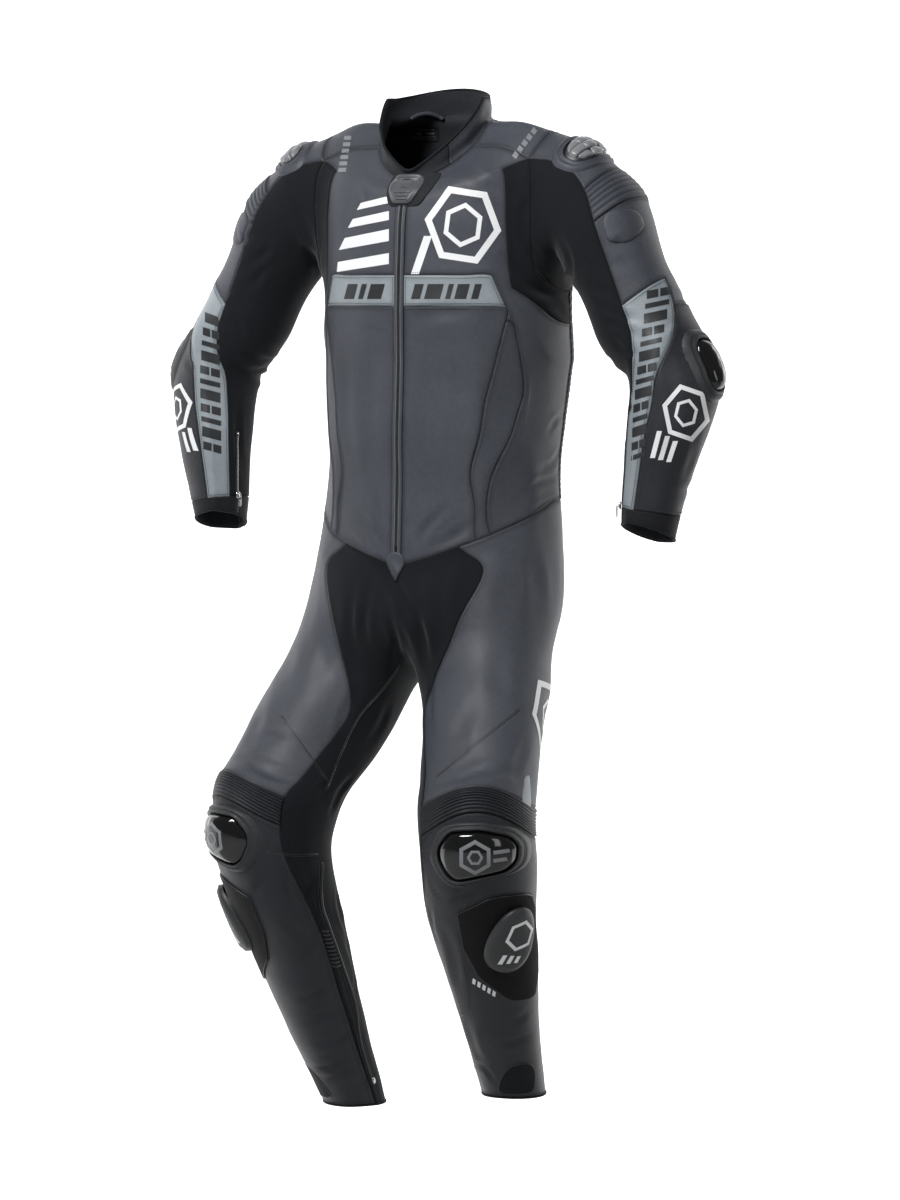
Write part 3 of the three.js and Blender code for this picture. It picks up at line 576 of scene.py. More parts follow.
def split_rows(verts, norms, faces, uv, parts):
    """Each quad in parts strips along v, so that ribs can run round the tube."""
    swap = np.abs(uv[:, 1, 1] - uv[:, 0, 1]) > 0.01
    faces = np.where(swap[:, None], np.roll(faces, -1, axis=1), faces)
    uv = np.where(swap[:, None, None], np.roll(uv, -1, axis=1), uv)
    edges = np.concatenate([faces[:, [0, 3]], faces[:, [1, 2]]])
    ordered = np.sort(edges, axis=1)
    unique, back = np.unique(ordered, axis=0, return_inverse=True)
    flipped = edges[:, 0] != ordered[:, 0]
    base = len(verts)
    steps = np.arange(1, parts) / parts
    a, b = verts[unique[:, 0]][:, None], verts[unique[:, 1]][:, None]
    na, nb = norms[unique[:, 0]][:, None], norms[unique[:, 1]][:, None]
    new = mix(a, b, steps[None, :, None]).reshape(-1, 3)
    new_n = unit(mix(na, nb, steps[None, :, None])).reshape(-1, 3)
    ids = base + np.arange(len(unique) * (parts - 1)).reshape(len(unique), parts - 1)
    run = ids[back.ravel()]
    run = np.where(flipped[:, None], run[:, ::-1], run)
    run = np.concatenate([edges[:, :1], run, edges[:, 1:]], axis=1)
    low, high = run[: len(faces)], run[len(faces) :]
    out, out_v = [], []
    for k in range(parts):
        out.append(np.stack([low[:, k], high[:, k], high[:, k + 1], low[:, k + 1]], axis=1))
        v = mix(uv[:, 0, 1], uv[:, 3, 1], k / parts), mix(uv[:, 0, 1], uv[:, 3, 1], (k + 1) / parts)
        out_v.append(np.stack([v[0], v[0], v[1], v[1]], axis=1))
    both, both_n = np.concatenate([verts, new]), np.concatenate([norms, new_n])
    return both, both_n, np.concatenate(out), np.concatenate(out_v)


def border(faces):
    """The directed edges that only one face uses."""
    edges = np.concatenate([faces[:, [k, (k + 1) % faces.shape[1]]] for k in range(faces.shape[1])])
    key = edges[:, 0].astype(np.int64) * 10_000_000 + edges[:, 1]
    twin = edges[:, 1].astype(np.int64) * 10_000_000 + edges[:, 0]
    return edges[~np.isin(key, twin)]


def inward(verts, norms, rim):
    """For every rim point, the way into the piece, as long as a mitre needs for 1 mm."""
    square = unit(np.cross(norms[rim[:, 0]] + norms[rim[:, 1]], verts[rim[:, 1]] - verts[rim[:, 0]]))
    total = np.zeros_like(verts)
    first = np.zeros_like(verts)
    for end in (0, 1):
        np.add.at(total, rim[:, end], square)
        first[rim[:, end]] = square
    length = np.maximum(0.35, np.einsum("ij,ij->i", unit(total), first))
    return unit(total) / length[:, None]


# Rays through places of the photograph's frame, 900 by 1200, in millimetres.
AZIMUTH = 30
ELEVATION = 4
DISTANCE = 6500
AIM = np.array([0.0, 0.0, -630.0])
FOCAL = DISTANCE / 1.4


def view_axes(azimuth, elevation):
    back = np.array([sin(azimuth) * cos(elevation), -cos(azimuth) * cos(elevation), sin(elevation)])
    right = np.array([cos(azimuth), sin(azimuth), 0.0])
    return back, right, np.cross(back, right)


def cast(px, py, azimuth=AZIMUTH, flip=1, surface=None):
    """Where the ray through a place of the frame meets the suit, and the suit's normal there."""
    back, right, up = view_axes(azimuth, ELEVATION)
    start = AIM + back * DISTANCE
    way = -back * FOCAL + right * (px - 450) + up * (600 - py)
    mirror = np.array([flip, 1, 1])
    at, normal, _, _ = (surface or tree).ray_cast(Vector(start * mirror), Vector(way * mirror))
    return None if at is None else (np.array(at), np.array(normal))


def curve(knots, step):
    """A smooth line through knots, with points about step apart."""
    knots = np.array(knots, float)
    ends = np.vstack([2 * knots[0] - knots[1], knots, 2 * knots[-1] - knots[-2]])
    line_points = []
    for a, b, c, d in zip(ends, ends[1:], ends[2:], ends[3:]):
        count = max(1, math.ceil(np.linalg.norm(c - b) / step))
        for t in np.arange(count) / count:
            bow, twist = 2 * a - 5 * b + 4 * c - d, 3 * b - a - 3 * c + d
            line_points.append(0.5 * (2 * b + (c - a) * t + bow * t**2 + twist * t**3))
    return np.array(line_points + [knots[-1]])


def trace(knots, step=2.5, azimuth=AZIMUTH, flip=1, surface=None):
    hits = [cast(x, y, azimuth, flip, surface) for x, y in curve(knots, step)]
    hits = [h for h in hits if h is not None]
    return np.array([h[0] for h in hits]), np.array([h[1] for h in hits])


def bent(x0, y0, x1, y1, bend):
    """Three knots of a line whose middle is bend to one side."""
    dx, dy = x1 - x0, y1 - y0
    length = math.hypot(dx, dy)
    middle = ((x0 + x1) / 2 - dy / length * bend, (y0 + y1) / 2 + dx / length * bend)
    return [(x0, y0), middle, (x1, y1)]


def on_tube(grid, side, row, col):
    """A place of the cage, between its points."""
    rows = grid[side]
    i, j = min(int(row), len(rows) - 2), int(col)
    s, t = row - i, col - j
    n = len(rows[i])
    ids = [rows[i][j % n], rows[i][(j + 1) % n], rows[i + 1][j % n], rows[i + 1][(j + 1) % n]]
    a, b, c, d = P[ids]
    at = mix(mix(a, b, t), mix(c, d, t), s)
    hit, normal, _, _ = tree.find_nearest(Vector(at))
    return np.array(hit), np.array(normal)


def along_tube(grid, side, row0, col0, row1, col1, bend=0.0, count=14):
    hits = []
    for t in np.linspace(0, 1, count):
        row = mix(row0, row1, t) + bend * math.sin(t * math.pi)
        hits.append(on_tube(grid, side, row, mix(col0, col1, t)))
    return np.array([h[0] for h in hits]), np.array([h[1] for h in hits])


def from_line(path, reach):
    """The points near a line: their ids, their distance from it and how far along it they are."""
    low, high = path.min(axis=0) - reach, path.max(axis=0) + reach
    ids = np.flatnonzero(np.all((skin > low) & (skin < high), axis=1))
    best = np.full(len(ids), 1e9)
    share = np.zeros(len(ids))
    lengths = np.linalg.norm(np.diff(path, axis=0), axis=1)
    total = lengths.sum()
    run = 0
    for a, b, length in zip(path, path[1:], lengths):
        t = np.clip((skin[ids] - a) @ (b - a) / max(length**2, 1e-9), 0, 1)
        d = np.linalg.norm(skin[ids] - a - t[:, None] * (b - a), axis=1)
        closer = d < best
        best[closer] = d[closer]
        share[closer] = (run + t[closer] * length) / total
        run += length
    near_enough = best < reach
    return ids[near_enough], best[near_enough], share[near_enough]


def fold(path, depth, width):
    """A soft trough along a line, with a low ridge on either side of it, that fades at its ends."""
    ids, distance, share = from_line(path, 3.2 * width)
    t = distance / width
    fade = np.sin(np.clip(share, 0.02, 0.98) * math.pi) ** 0.7
    fade = fade * (0.8 + 0.2 * np.sin(share * 9 + depth * 7))
    shape = -np.exp(-(t**2)) + 0.5 * np.exp(-(((t - 1.8) / 0.75) ** 2))
    height[ids] += FOLD_GAIN * depth * fade * shape


# Folds as they show in the photograph: two ends, the bend of the middle, depth and width.
SEEN_FOLDS = table(
    "x0 y0 x1 y1 bend depth width",
    [
        [371, 322, 377, 505, 4, 1.5, 13], [428, 320, 424, 470, -5, 1.6, 15],
        [455, 300, 462, 440, 4, 1.2, 15], [346, 330, 350, 470, 3, 1.2, 12],
        [338, 318, 390, 336, 3, 1.0, 8], [410, 322, 470, 312, -4, 1.1, 9],
        [417, 543, 450, 505, -3, 1.6, 6], [428, 549, 476, 520, 3, 1.4, 6],
        [385, 549, 358, 515, 3, 1.6, 6], [372, 552, 345, 532, -2, 1.3, 5],
        [380, 536, 374, 492, 2, 1.2, 6], [556, 478, 524, 494, 3, 2.0, 5],
        [560, 500, 532, 512, 2, 1.7, 4.5], [562, 448, 540, 470, -3, 1.6, 5.5],
        [563, 415, 548, 432, 2, 1.3, 5], [505, 455, 511, 500, 2, 1.1, 5],
        [500, 300, 522, 338, -3, 1.3, 6], [470, 168, 507, 196, 4, 1.3, 9],
        [352, 178, 372, 214, -3, 1.3, 8], [418, 190, 452, 180, 3, 1.0, 8],
        [506, 258, 570, 298, 7, 4.0, 7.5], [514, 284, 566, 314, -5, 2.6, 7],
        [560, 236, 571, 284, -5, 3.2, 6], [523, 232, 545, 262, 4, 2.2, 6],
        [531, 190, 526, 236, 3, 1.5, 7], [598, 246, 643, 233, 5, 3.0, 5],
        [576, 226, 611, 292, -4, 1.6, 9], [596, 262, 640, 258, 4, 1.3, 7],
        [583, 285, 622, 304, -3, 2.4, 6.5], [596, 300, 640, 321, 4, 2.8, 6],
        [604, 322, 641, 339, -3, 2.6, 5.5], [614, 342, 640, 356, 3, 2.0, 5],
        [622, 372, 634, 420, 2, 1.2, 5], [669, 366, 666, 468, -4, 1.8, 7],
        [683, 484, 696, 432, 3, 1.6, 6], [650, 462, 656, 502, 2, 1.3, 5],
        [676, 348, 690, 372, -3, 1.6, 5], [655, 330, 676, 318, 3, 1.6, 4.5],
        [380, 564, 429, 668, -9, 6.5, 8], [398, 590, 424, 640, 4, 3.4, 6],
        [371, 580, 364, 648, 4, 3.0, 7], [386, 612, 399, 664, -3, 2.8, 5.5],
        [412, 578, 425, 636, -4, 2.2, 8], [440, 572, 447, 648, 4, 1.7, 10],
        [352, 590, 357, 684, 3, 1.8, 9], [357, 690, 340, 742, 3, 1.8, 7],
        [389, 700, 368, 744, -3, 1.6, 7], [434, 664, 432, 742, 2, 1.4, 7],
        [478, 560, 470, 640, 5, 1.5, 15], [530, 548, 536, 622, -4, 1.4, 11],
        [505, 640, 500, 700, 3, 1.2, 13], [476, 700, 455, 750, 4, 1.2, 11],
        [302, 590, 286, 690, 5, 1.5, 15], [262, 690, 246, 752, -4, 1.4, 11],
        [330, 630, 322, 690, 3, 1.3, 11], [452, 782, 520, 772, -6, 2.0, 7],
        [440, 764, 470, 741, 3, 1.4, 7], [530, 740, 514, 778, 3, 1.5, 7],
        [232, 752, 302, 782, 5, 1.9, 7], [252, 738, 290, 744, -3, 1.3, 7],
        [318, 796, 340, 758, 3, 2.6, 6], [331, 812, 353, 776, -3, 2.8, 6],
        [334, 842, 341, 808, 3, 2.4, 5], [289, 866, 292, 908, 2, 1.6, 5],
        [276, 876, 252, 893, 3, 2.0, 5.5], [301, 942, 280, 918, 3, 1.5, 5.5],
        [304, 906, 319, 874, -2, 1.5, 5], [296, 966, 312, 936, 2, 1.4, 5.5],
        [298, 1000, 326, 986, 3, 2.0, 5.5], [306, 1024, 340, 1012, -3, 1.4, 5],
        [316, 1044, 350, 1032, 3, 1.8, 5], [310, 1068, 346, 1060, 3, 2.3, 4.5],
        [326, 1082, 358, 1068, -3, 1.8, 4.5], [336, 880, 346, 930, 3, 2.0, 6],
        [346, 940, 356, 996, -3, 1.8, 6], [430, 878, 444, 899, 3, 2.4, 4.5],
        [452, 902, 474, 892, -2, 1.8, 4.5], [444, 928, 457, 990, -4, 2.0, 8],
        [430, 905, 440, 948, 3, 1.5, 7], [468, 1020, 482, 1064, 3, 1.6, 8],
        [496, 1044, 532, 1034, 3, 1.5, 5.5], [474, 1062, 494, 1082, -3, 1.8, 4.5],
        [508, 1022, 530, 1012, 2, 1.2, 6], [240, 264, 270, 248, 4, 2.8, 6],
        [252, 286, 272, 268, -3, 2.2, 6], [228, 232, 258, 240, 4, 2.2, 5],
        [226, 292, 246, 306, 3, 2.0, 6], [222, 316, 246, 336, -3, 2.0, 6],
        [228, 350, 250, 356, 3, 1.8, 5], [238, 400, 243, 470, 3, 1.4, 6],
        [186, 356, 200, 372, 3, 1.5, 5], [288, 178, 300, 196, 2, 1.4, 5],
        [300, 215, 312, 262, -4, 2.2, 8], [318, 240, 322, 300, 3, 1.8, 8],
    ],
)
# Folds on the sides that the photograph hides, in rows and columns of a tube.
HIDDEN_FOLDS = [
    (torso, [
        [0.6, 10.2, 0.9, 14.6, 0.25, 2.6, 7], [1.5, 10.4, 1.9, 13.8, -0.2, 2.2, 7],
        [2.5, 11.0, 2.3, 14.8, 0.2, 2.4, 8], [3.5, 10.3, 3.9, 13.0, 0.25, 1.8, 7],
        [4.8, 12.0, 8.5, 12.8, 0.2, 1.5, 14], [6.0, 10.4, 8.6, 11.2, 0.2, 2.2, 9],
        [8.7, 10.3, 7.6, 12.8, 0.2, 2.6, 8], [10.0, 10.6, 12.4, 11.4, 0.1, 1.8, 9],
        [9.5, 13.0, 12.0, 14.2, -0.2, 1.5, 14],
    ]),
    (hips, [
        [0.5, 10.4, 1.2, 12.6, 0.1, 1.8, 9], [1.4, 12.0, 2.6, 14.0, 0.1, 2.0, 11],
    ]),
    (legs, [
        [0.7, 10.6, 0.9, 14.4, 0.15, 4.2, 9], [1.6, 11.0, 1.8, 14.0, -0.15, 2.6, 8],
        [2.8, 10.8, 3.1, 13.4, 0.15, 2.0, 9], [4.2, 10.4, 4.4, 14.6, 0.2, 3.4, 7],
        [5.0, 10.6, 4.9, 14.8, -0.15, 4.2, 7], [5.7, 10.4, 5.9, 14.4, 0.15, 4.6, 7],
        [6.6, 10.8, 6.4, 14.8, 0.15, 3.6, 7], [7.4, 11.2, 7.6, 14.0, -0.15, 2.4, 7],
        [9.0, 11.0, 11.0, 12.2, 0.2, 1.8, 8], [11.4, 10.8, 11.9, 13.8, 0.2, 1.8, 6],
        [12.8, 11.4, 13.1, 14.6, -0.2, 2.0, 6], [13.8, 10.2, 14.2, 13.2, 0.1, 2.0, 5],
    ]),
    (sleeves, [
        [1.4, 11.6, 1.9, 15.4, 0.2, 2.0, 8], [5.4, 12.6, 5.8, 15.6, 0.2, 2.4, 7],
        [6.0, 6.0, 6.3, 10.6, 0.25, 3.0, 6], [7.0, 6.2, 7.1, 10.8, -0.2, 3.2, 6],
        [8.0, 6.0, 7.9, 10.2, 0.2, 2.6, 6], [9.2, 10.0, 10.8, 12.4, 0.2, 1.6, 7],
        [11.2, 12.0, 12.2, 15.0, 0.2, 1.6, 6],
    ]),
]

for f in SEEN_FOLDS:
    path, _ = trace(bent(f["x0"], f["y0"], f["x1"], f["y1"], f["bend"]), 4)
    if len(path) > 2:
        fold(path, f["depth"], f["width"])
for grid, rows in HIDDEN_FOLDS:
    for f in table("row0 col0 row1 col1 bend depth width", rows):
        for k, side in enumerate(SIDES):
            shift = 0.12 * k
            first, last = (f["row0"] + shift, f["col0"]), (f["row1"] + shift, f["col1"] - shift)
            path, _ = along_tube(grid, side, *first, *last, f["bend"])
            fold(path, f["depth"] * (1 - 0.15 * k), f["width"])


# Uneven filling under the cloth.
for i, at in enumerate(skin):
    wide = noise.noise(Vector(at) / 95)
    small = noise.noise(Vector(at) / 34 + Vector((7, 3, 1)))
    height[i] += 1.5 * wide + 0.55 * small

made = {}


def shell(name):
    """A piece of cloth: its outer face with rolled edges, a rim and an inner face."""
    mask = quad_owner == piece_names.index(name)
    ids, faces = np.unique(quads[mask], return_inverse=True)
    faces = faces.reshape(-1, 4)
    verts, norms = skin[ids], skin_normals[ids]
    lift = height[ids]
    inner_base = verts + norms * (np.minimum(lift, 0) - WALL)[:, None]
    kind = bare(name)
    if kind in RIBBED:
        ribs, tall = RIBBED[kind]
        parts = max(1, round(ribs * 8 / STEPS))
        verts, norms, faces, v = split_rows(verts, norms, faces, place[mask], parts)
        lift = np.zeros(len(verts))
        wave = np.abs(np.sin(v * ribs * math.pi)) ** 0.7
        lift[faces.ravel()] = (wave * tall).ravel()
        inner_base = verts - norms * WALL
    rim = border(faces)
    way = inward(verts, norms, rim)
    on_rim = np.unique(rim)
    outer = verts + norms * lift[:, None]
    outer[on_rim] += way[on_rim] * RING[2][0]
    rings = []
    for inset, drop in RING[:2]:
        sunk = np.minimum(lift[on_rim], 0) - drop
        rings.append(verts[on_rim] + way[on_rim] * inset + norms[on_rim] * sunk[:, None])
    inner = inner_base.copy()
    inner[on_rim] += way[on_rim] * RING[0][0]
    n, m = len(verts), len(on_rim)
    row = np.full(n, -1)
    row[on_rim] = np.arange(m)
    a, b = rim[:, 0], rim[:, 1]
    ring_out, ring_mid = n + row, n + m + row
    all_verts = np.concatenate([outer, rings[0], rings[1], inner])
    inn = n + 2 * m
    joins = [
        np.stack([b, a, ring_mid[a], ring_mid[b]], axis=1),
        np.stack([ring_mid[b], ring_mid[a], ring_out[a], ring_out[b]], axis=1),
        np.stack([ring_out[b], ring_out[a], inn + a, inn + b], axis=1),
    ]
    all_faces = np.concatenate([faces, *joins, (faces + inn)[:, ::-1]])
    made[name] = {"verts": outer, "norms": norms, "faces": faces, "rim": rim, "way": way}
    # Painted shade in the grooves: how near the seam a place is, from 1 at the edge to 0 further in, and 1
    # in the grooves of ribs; the materials darken the colour by it.
    edge_tree = KDTree(m)
    for i, at in enumerate(verts[on_rim]):
        edge_tree.insert(at, i)
    edge_tree.balance()
    near = np.array([max(0, 1 - edge_tree.find(at)[2] / SEAM_SHADE) for at in verts])
    if kind in RIBBED:
        near = np.maximum(near, 1 - lift / max(RIBBED[kind][1], 0.1))
    made[name]["seam"] = np.concatenate([near, np.ones(2 * m), np.zeros(n)])
    made[name]["lined_from"] = len(faces) + 2 * len(rim)
    return all_verts, all_faces


def to_scene(name, verts, faces, flat=False):
    """A mesh in metres from points in millimetres."""
    mesh = bpy.data.meshes.new(name)
    faces = faces.tolist() if isinstance(faces, np.ndarray) else faces
    mesh.from_pydata((np.asarray(verts) * MM).tolist(), [], faces)
    if not flat:
        mesh.shade_smooth()
    obj = bpy.data.objects.new(name, mesh)
    bpy.context.scene.collection.objects.link(obj)
    return obj


cloth = {}
for name in piece_names:
    cloth[name] = to_scene(f"{name}_cloth", *shell(name))
    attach(cloth[name], "suit")
    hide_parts(name)


# Materials. N wraps a shader socket, so that patterns read as sums.
class N:
    tree = None

    def __init__(self, socket):
        self.socket = socket

    @staticmethod
    def node(kind, settings=None, **inputs):
        made_node = N.tree.nodes.new("ShaderNode" + kind)
        for key, value in (settings or {}).items():
            setattr(made_node, key, value)
        for key, value in inputs.items():
            N.link(value, made_node.inputs[key.replace("_", " ")])
        return made_node

    @staticmethod
    def link(value, target):
        if isinstance(value, N):
            N.tree.links.new(value.socket, target)
        else:
            target.default_value = value

    @staticmethod
    def maths(operation, *values, clamp=False):
        made_node = N.tree.nodes.new("ShaderNodeMath")
        made_node.operation = operation
        made_node.use_clamp = clamp
        for value, target in zip(values, made_node.inputs):
            N.link(value, target)
        return N(made_node.outputs[0])

    def __add__(self, other):
        return N.maths("ADD", self, other)

    def __radd__(self, other):
        return N.maths("ADD", other, self)

    def __sub__(self, other):
        return N.maths("SUBTRACT", self, other)

    def __rsub__(self, other):
        return N.maths("SUBTRACT", other, self)

    def __mul__(self, other):
        return N.maths("MULTIPLY", self, other)

    def __rmul__(self, other):
        return N.maths("MULTIPLY", other, self)

    def __truediv__(self, other):
        return N.maths("DIVIDE", self, other)

    def __pow__(self, other):
        return N.maths("POWER", self, other)

    def step(self, low, high):
        made_node = N.node("MapRange", {"interpolation_type": "SMOOTHSTEP"})
        N.link(self, made_node.inputs["Value"])
        made_node.inputs["From Min"].default_value = low
        made_node.inputs["From Max"].default_value = high
        return N(made_node.outputs["Result"])


def colour_mix(factor, a, b):
    made_node = N.tree.nodes.new("ShaderNodeMix")
    made_node.data_type = "RGBA"
    N.link(factor, made_node.inputs["Factor"])
    for value, target in ((a, "A_Color"), (b, "B_Color")):
        socket = next(s for s in made_node.inputs if s.identifier == target)
        N.link((*value, 1) if isinstance(value, tuple) else value, socket)
    return N(next(s for s in made_node.outputs if s.identifier == "Result_Color"))


def where():
    return N(N.node("TexCoord").outputs["Object"])


def grain(scale, detail=3.0, rough=0.5, at=None):
    made_node = N.node("TexNoise", Scale=scale, Detail=detail, Roughness=rough, Vector=at or where())
    return N(made_node.outputs["Fac"])


def pebbles(scale, feature="F1", at=None):
    made_node = N.node("TexVoronoi", {"feature": feature}, Scale=scale, Vector=at or where())
    return N(made_node.outputs["Distance"])


def bump(height_of, distance, strength=1.0):
    made_node = N.node("Bump", Height=height_of, Distance=distance, Strength=strength)
    return N(made_node.outputs["Normal"])


def attribute(name):
    return N(N.node("Attribute", {"attribute_name": name}).outputs["Fac"])


def material(name, build, **constants):
    made_material = bpy.data.materials.new(name)
    made_material.use_nodes = True
    N.tree = made_material.node_tree
    surface = N.tree.nodes["Principled BSDF"]
    for key, value in constants.items():
        surface.inputs[key.replace("_", " ")].default_value = value
    for key, value in build().items():
        N.link(value, surface.inputs[key.replace("_", " ")])
    return made_material


def leather(name, dark, light, rough, grain_size=1150, coat=0.12):
    def build():
        cloudy = grain(9, 4, 0.6)
        fine = grain(160, 4, 0.6)
        creases = pebbles(grain_size, "DISTANCE_TO_EDGE")
        pores = creases.step(0.0, 0.22)
        # Painted shade: the colour darkens near seams and in the grooves of ribs.
        seam = attribute("seam")
        tone = (cloudy - 0.5) * 0.7 + (fine - 0.5) * 0.5 + 0.45 - seam * 0.4
        tone = tone + pores * 0.12
        relief = pores * 0.5 + fine * 0.5 + grain(420, 2) * 0.4
        return {
            "Base_Color": colour_mix(N.maths("ADD", tone, 0, clamp=True), dark, light),
            "Roughness": rough + (cloudy - 0.5) * 0.16 + (fine - 0.5) * 0.12 + seam * 0.08,
            "Normal": bump(relief, 0.00035, 0.6),
        }

    return material(name, build, Coat_Weight=coat, Coat_Roughness=0.42, Specular_IOR_Level=0.34)


def stretch(name, dark, light, pitch=900, rough=0.86, depth=0.0003):
    def build():
        weave = grain(pitch, 2, 0.5)
        cloudy = grain(14, 4, 0.6)
        # Painted shade: the colour darkens near seams and in the grooves of ribs.
        seam = attribute("seam")
        tone = (weave - 0.5) * 0.9 + (cloudy - 0.5) * 0.5 + 0.42 - seam * 0.25
        return {
            "Base_Color": colour_mix(N.maths("ADD", tone, 0, clamp=True), dark, light),
            "Roughness": rough + (cloudy - 0.5) * 0.08,
            "Normal": bump(weave + pebbles(pitch * 0.7) * 0.4, depth, 0.5),
        }

    return material(name, build, Sheen_Weight=0.08, Sheen_Roughness=0.5, Specular_IOR_Level=0.22)


def moulding(name, dark, light, rough, coat=0.0, relief=0.00008, metallic=0.0):
    def build():
        haze = grain(24, 5, 0.6)
        fine = grain(900, 2)
        scratches = grain(70, 6, 0.75).step(0.62, 0.74)
        return {
            "Base_Color": colour_mix(haze, dark, light),
            "Roughness": rough + (haze - 0.5) * 0.1 + scratches * 0.08,
            "Normal": bump(fine, relief, 0.4),
        }

    return material(name, build, Coat_Weight=coat, Coat_Roughness=0.04, Metallic=metallic)


GREY_LEATHER = leather("grey_cowhide", (0.022, 0.025, 0.033), (0.068, 0.075, 0.094), 0.46)
CHARCOAL_LEATHER = leather("charcoal_cowhide", (0.004, 0.005, 0.008), (0.019, 0.021, 0.029), 0.47)
SILVER_LEATHER = leather("silver_coating", (0.17, 0.20, 0.22), (0.33, 0.37, 0.40), 0.36, 900, 0.3)
PERFORATED = leather("bezel_cowhide", (0.010, 0.011, 0.013), (0.028, 0.030, 0.034), 0.42)
STRETCH = stretch("black_stretch", (0.0014, 0.002, 0.0032), (0.0065, 0.009, 0.0135))
RIB_STRETCH = stretch("ribbed_stretch", (0.008, 0.009, 0.011), (0.028, 0.030, 0.034), 700, 0.7)
NEOPRENE = stretch("cuff_neoprene", (0.004, 0.0045, 0.0055), (0.014, 0.015, 0.018), 1400, 0.72, 0.0001)
TAPE = stretch("zip_tape", (0.003, 0.003, 0.0035), (0.010, 0.010, 0.012), 1800, 0.8)
WHITE_PRINT = moulding("white_print", (0.72, 0.73, 0.74), (0.85, 0.86, 0.87), 0.42)
GREY_PRINT = moulding("grey_print", (0.16, 0.17, 0.18), (0.23, 0.24, 0.25), 0.45)
DARK_PRINT = moulding("dark_print", (0.012, 0.013, 0.015), (0.028, 0.030, 0.033), 0.45)
GLOSS = moulding("gloss_black", (0.002, 0.0022, 0.0025), (0.004, 0.0043, 0.0047), 0.1, 0.4)
GREY_CAP = moulding("grey_moulding", (0.15, 0.156, 0.168), (0.22, 0.226, 0.24), 0.32, 0.15)
SATIN_BLACK = moulding("satin_black_moulding", (0.008, 0.009, 0.010), (0.020, 0.021, 0.024), 0.4)
PUCK = moulding("puck_moulding", (0.018, 0.019, 0.021), (0.034, 0.036, 0.039), 0.5)
HOOKS = stretch("hook_pile", (0.002, 0.002, 0.0025), (0.009, 0.009, 0.010), 520, 0.95, 0.0012)
METAL = moulding("zip_metal", (0.42, 0.43, 0.45), (0.62, 0.63, 0.65), 0.24, 0, 0.00002, 1.0)
THREAD = moulding("grey_thread", (0.022, 0.024, 0.027), (0.06, 0.064, 0.07), 0.6)
LABEL_CLOTH = stretch("label_cloth", (0.006, 0.0065, 0.008), (0.02, 0.021, 0.024), 1500, 0.7)
# Painted highlight: the pale lines along the edges of the main zip's leather folds.
ZIP_EDGE_HIGHLIGHT = moulding("painted_zip_edge_highlight", (0.085, 0.09, 0.10), (0.14, 0.15, 0.16), 0.45)
COLLAR_CLOTH = stretch("collar_neoprene", (0.012, 0.013, 0.016), (0.034, 0.036, 0.042), 1100, 0.75)
FLAP_CLOTH = stretch("flap_neoprene", (0.006, 0.007, 0.009), (0.02, 0.022, 0.026), 1100, 0.75)
BADGE_PLASTIC = moulding("badge_moulding", (0.055, 0.058, 0.066), (0.095, 0.10, 0.11), 0.36, 0.1)
LINING = stretch("lining", (0.012, 0.013, 0.016), (0.038, 0.041, 0.048), 500, 0.9)

FINISH = {
    "chest_band": SILVER_LEATHER,
    "forearm_strip": SILVER_LEATHER,
    "shin": CHARCOAL_LEATHER,
    "forearm": CHARCOAL_LEATHER,
    "knee_ribs": CHARCOAL_LEATHER,
    "crotch": STRETCH,
    "underarm": STRETCH,
    "inner_sleeve": STRETCH,
    "side_strip": RIB_STRETCH,
    "cuff": NEOPRENE,
    "zip": TAPE,
    "collar_front": COLLAR_CLOTH,
    "neck_flap": FLAP_CLOTH,
    "neck_badge": BADGE_PLASTIC,
    "label": LABEL_CLOTH,
    "hanging_loop": GREY_LEATHER,
    "shoulder_cup": GREY_CAP,
    "elbow_cup": GLOSS,
    "knee_ring": PERFORATED,
    "knee_cup": GLOSS,
    "knee_puck": PUCK,
    "shin_patch": HOOKS,
    "cuff_slider": METAL,
    "cuff_pull": METAL,
}


def finish_of(name):
    return FINISH.get(bare(name), GREY_LEATHER)


for name, obj in cloth.items():
    obj.data.materials.append(finish_of(name))
    obj.data.materials.append(LINING)
    layer = np.zeros(len(obj.data.polygons), dtype=np.int32)
    layer[made[name]["lined_from"]:] = 1
    obj.data.polygons.foreach_set("material_index", layer)
    # The mask of painted shade near seams and in rib grooves, for the materials.
    seam = obj.data.attributes.new("seam", "FLOAT", "POINT")
    seam.data.foreach_set("value", made[name]["seam"].astype(np.float32))
for name, node in frame["nodes"].items():
    if name not in cloth:
        node.data.materials.clear()
        node.data.materials.append(finish_of(name))


# What lies on the cloth: sewing, prints, zips and caps.
final = skin + skin_normals * height[:, None]
final_tree = BVHTree.FromPolygons([Vector(p) for p in final.tolist()], quads.tolist())


def settle(points_near, gap=0.0):
    """The nearest places of the finished cloth, lifted by a gap, and its normals there."""
    found = [final_tree.find_nearest(Vector(p))[:2] for p in points_near]
    at = np.array([f[0] for f in found])
    normals = np.array([f[1] for f in found])
    for i, n in enumerate(normals):
        if n @ (points_near[i] - at[i]) < -4:
            normals[i] = n
    return at + normals * gap, normals


def even(path, step, closed=False):
    """The same line with points step apart."""
    if closed:
        path = np.vstack([path, path[:1]])
    run = np.concatenate([[0], np.cumsum(np.linalg.norm(np.diff(path, axis=0), axis=1))])
    count = max(2, int(run[-1] / step) + 1)
    marks = np.linspace(0, run[-1], count)
    return np.stack([np.interp(marks, run, path[:, k]) for k in range(3)], axis=1)


# Half the length, width and height of a stitch
STITCH = (1.15, 0.36, 0.34)


def ring_faces(count, rings, order=1, middle=False, closed=False):
    """Quads between rings of points, and triangles to a middle point that comes after them."""
    faces = []
    for i in range(rings if closed else rings - 1):
        low, high = i * count, (i + 1) % rings * count
        for k in range(count):
            n = (k + 1) % count
            faces.append((low + k, low + n, high + n, high + k)[::order])
    if middle:
        last = (rings - 1) * count
        faces += [(last + k, last + (k + 1) % count, rings * count)[::order] for k in range(count)]
    return faces


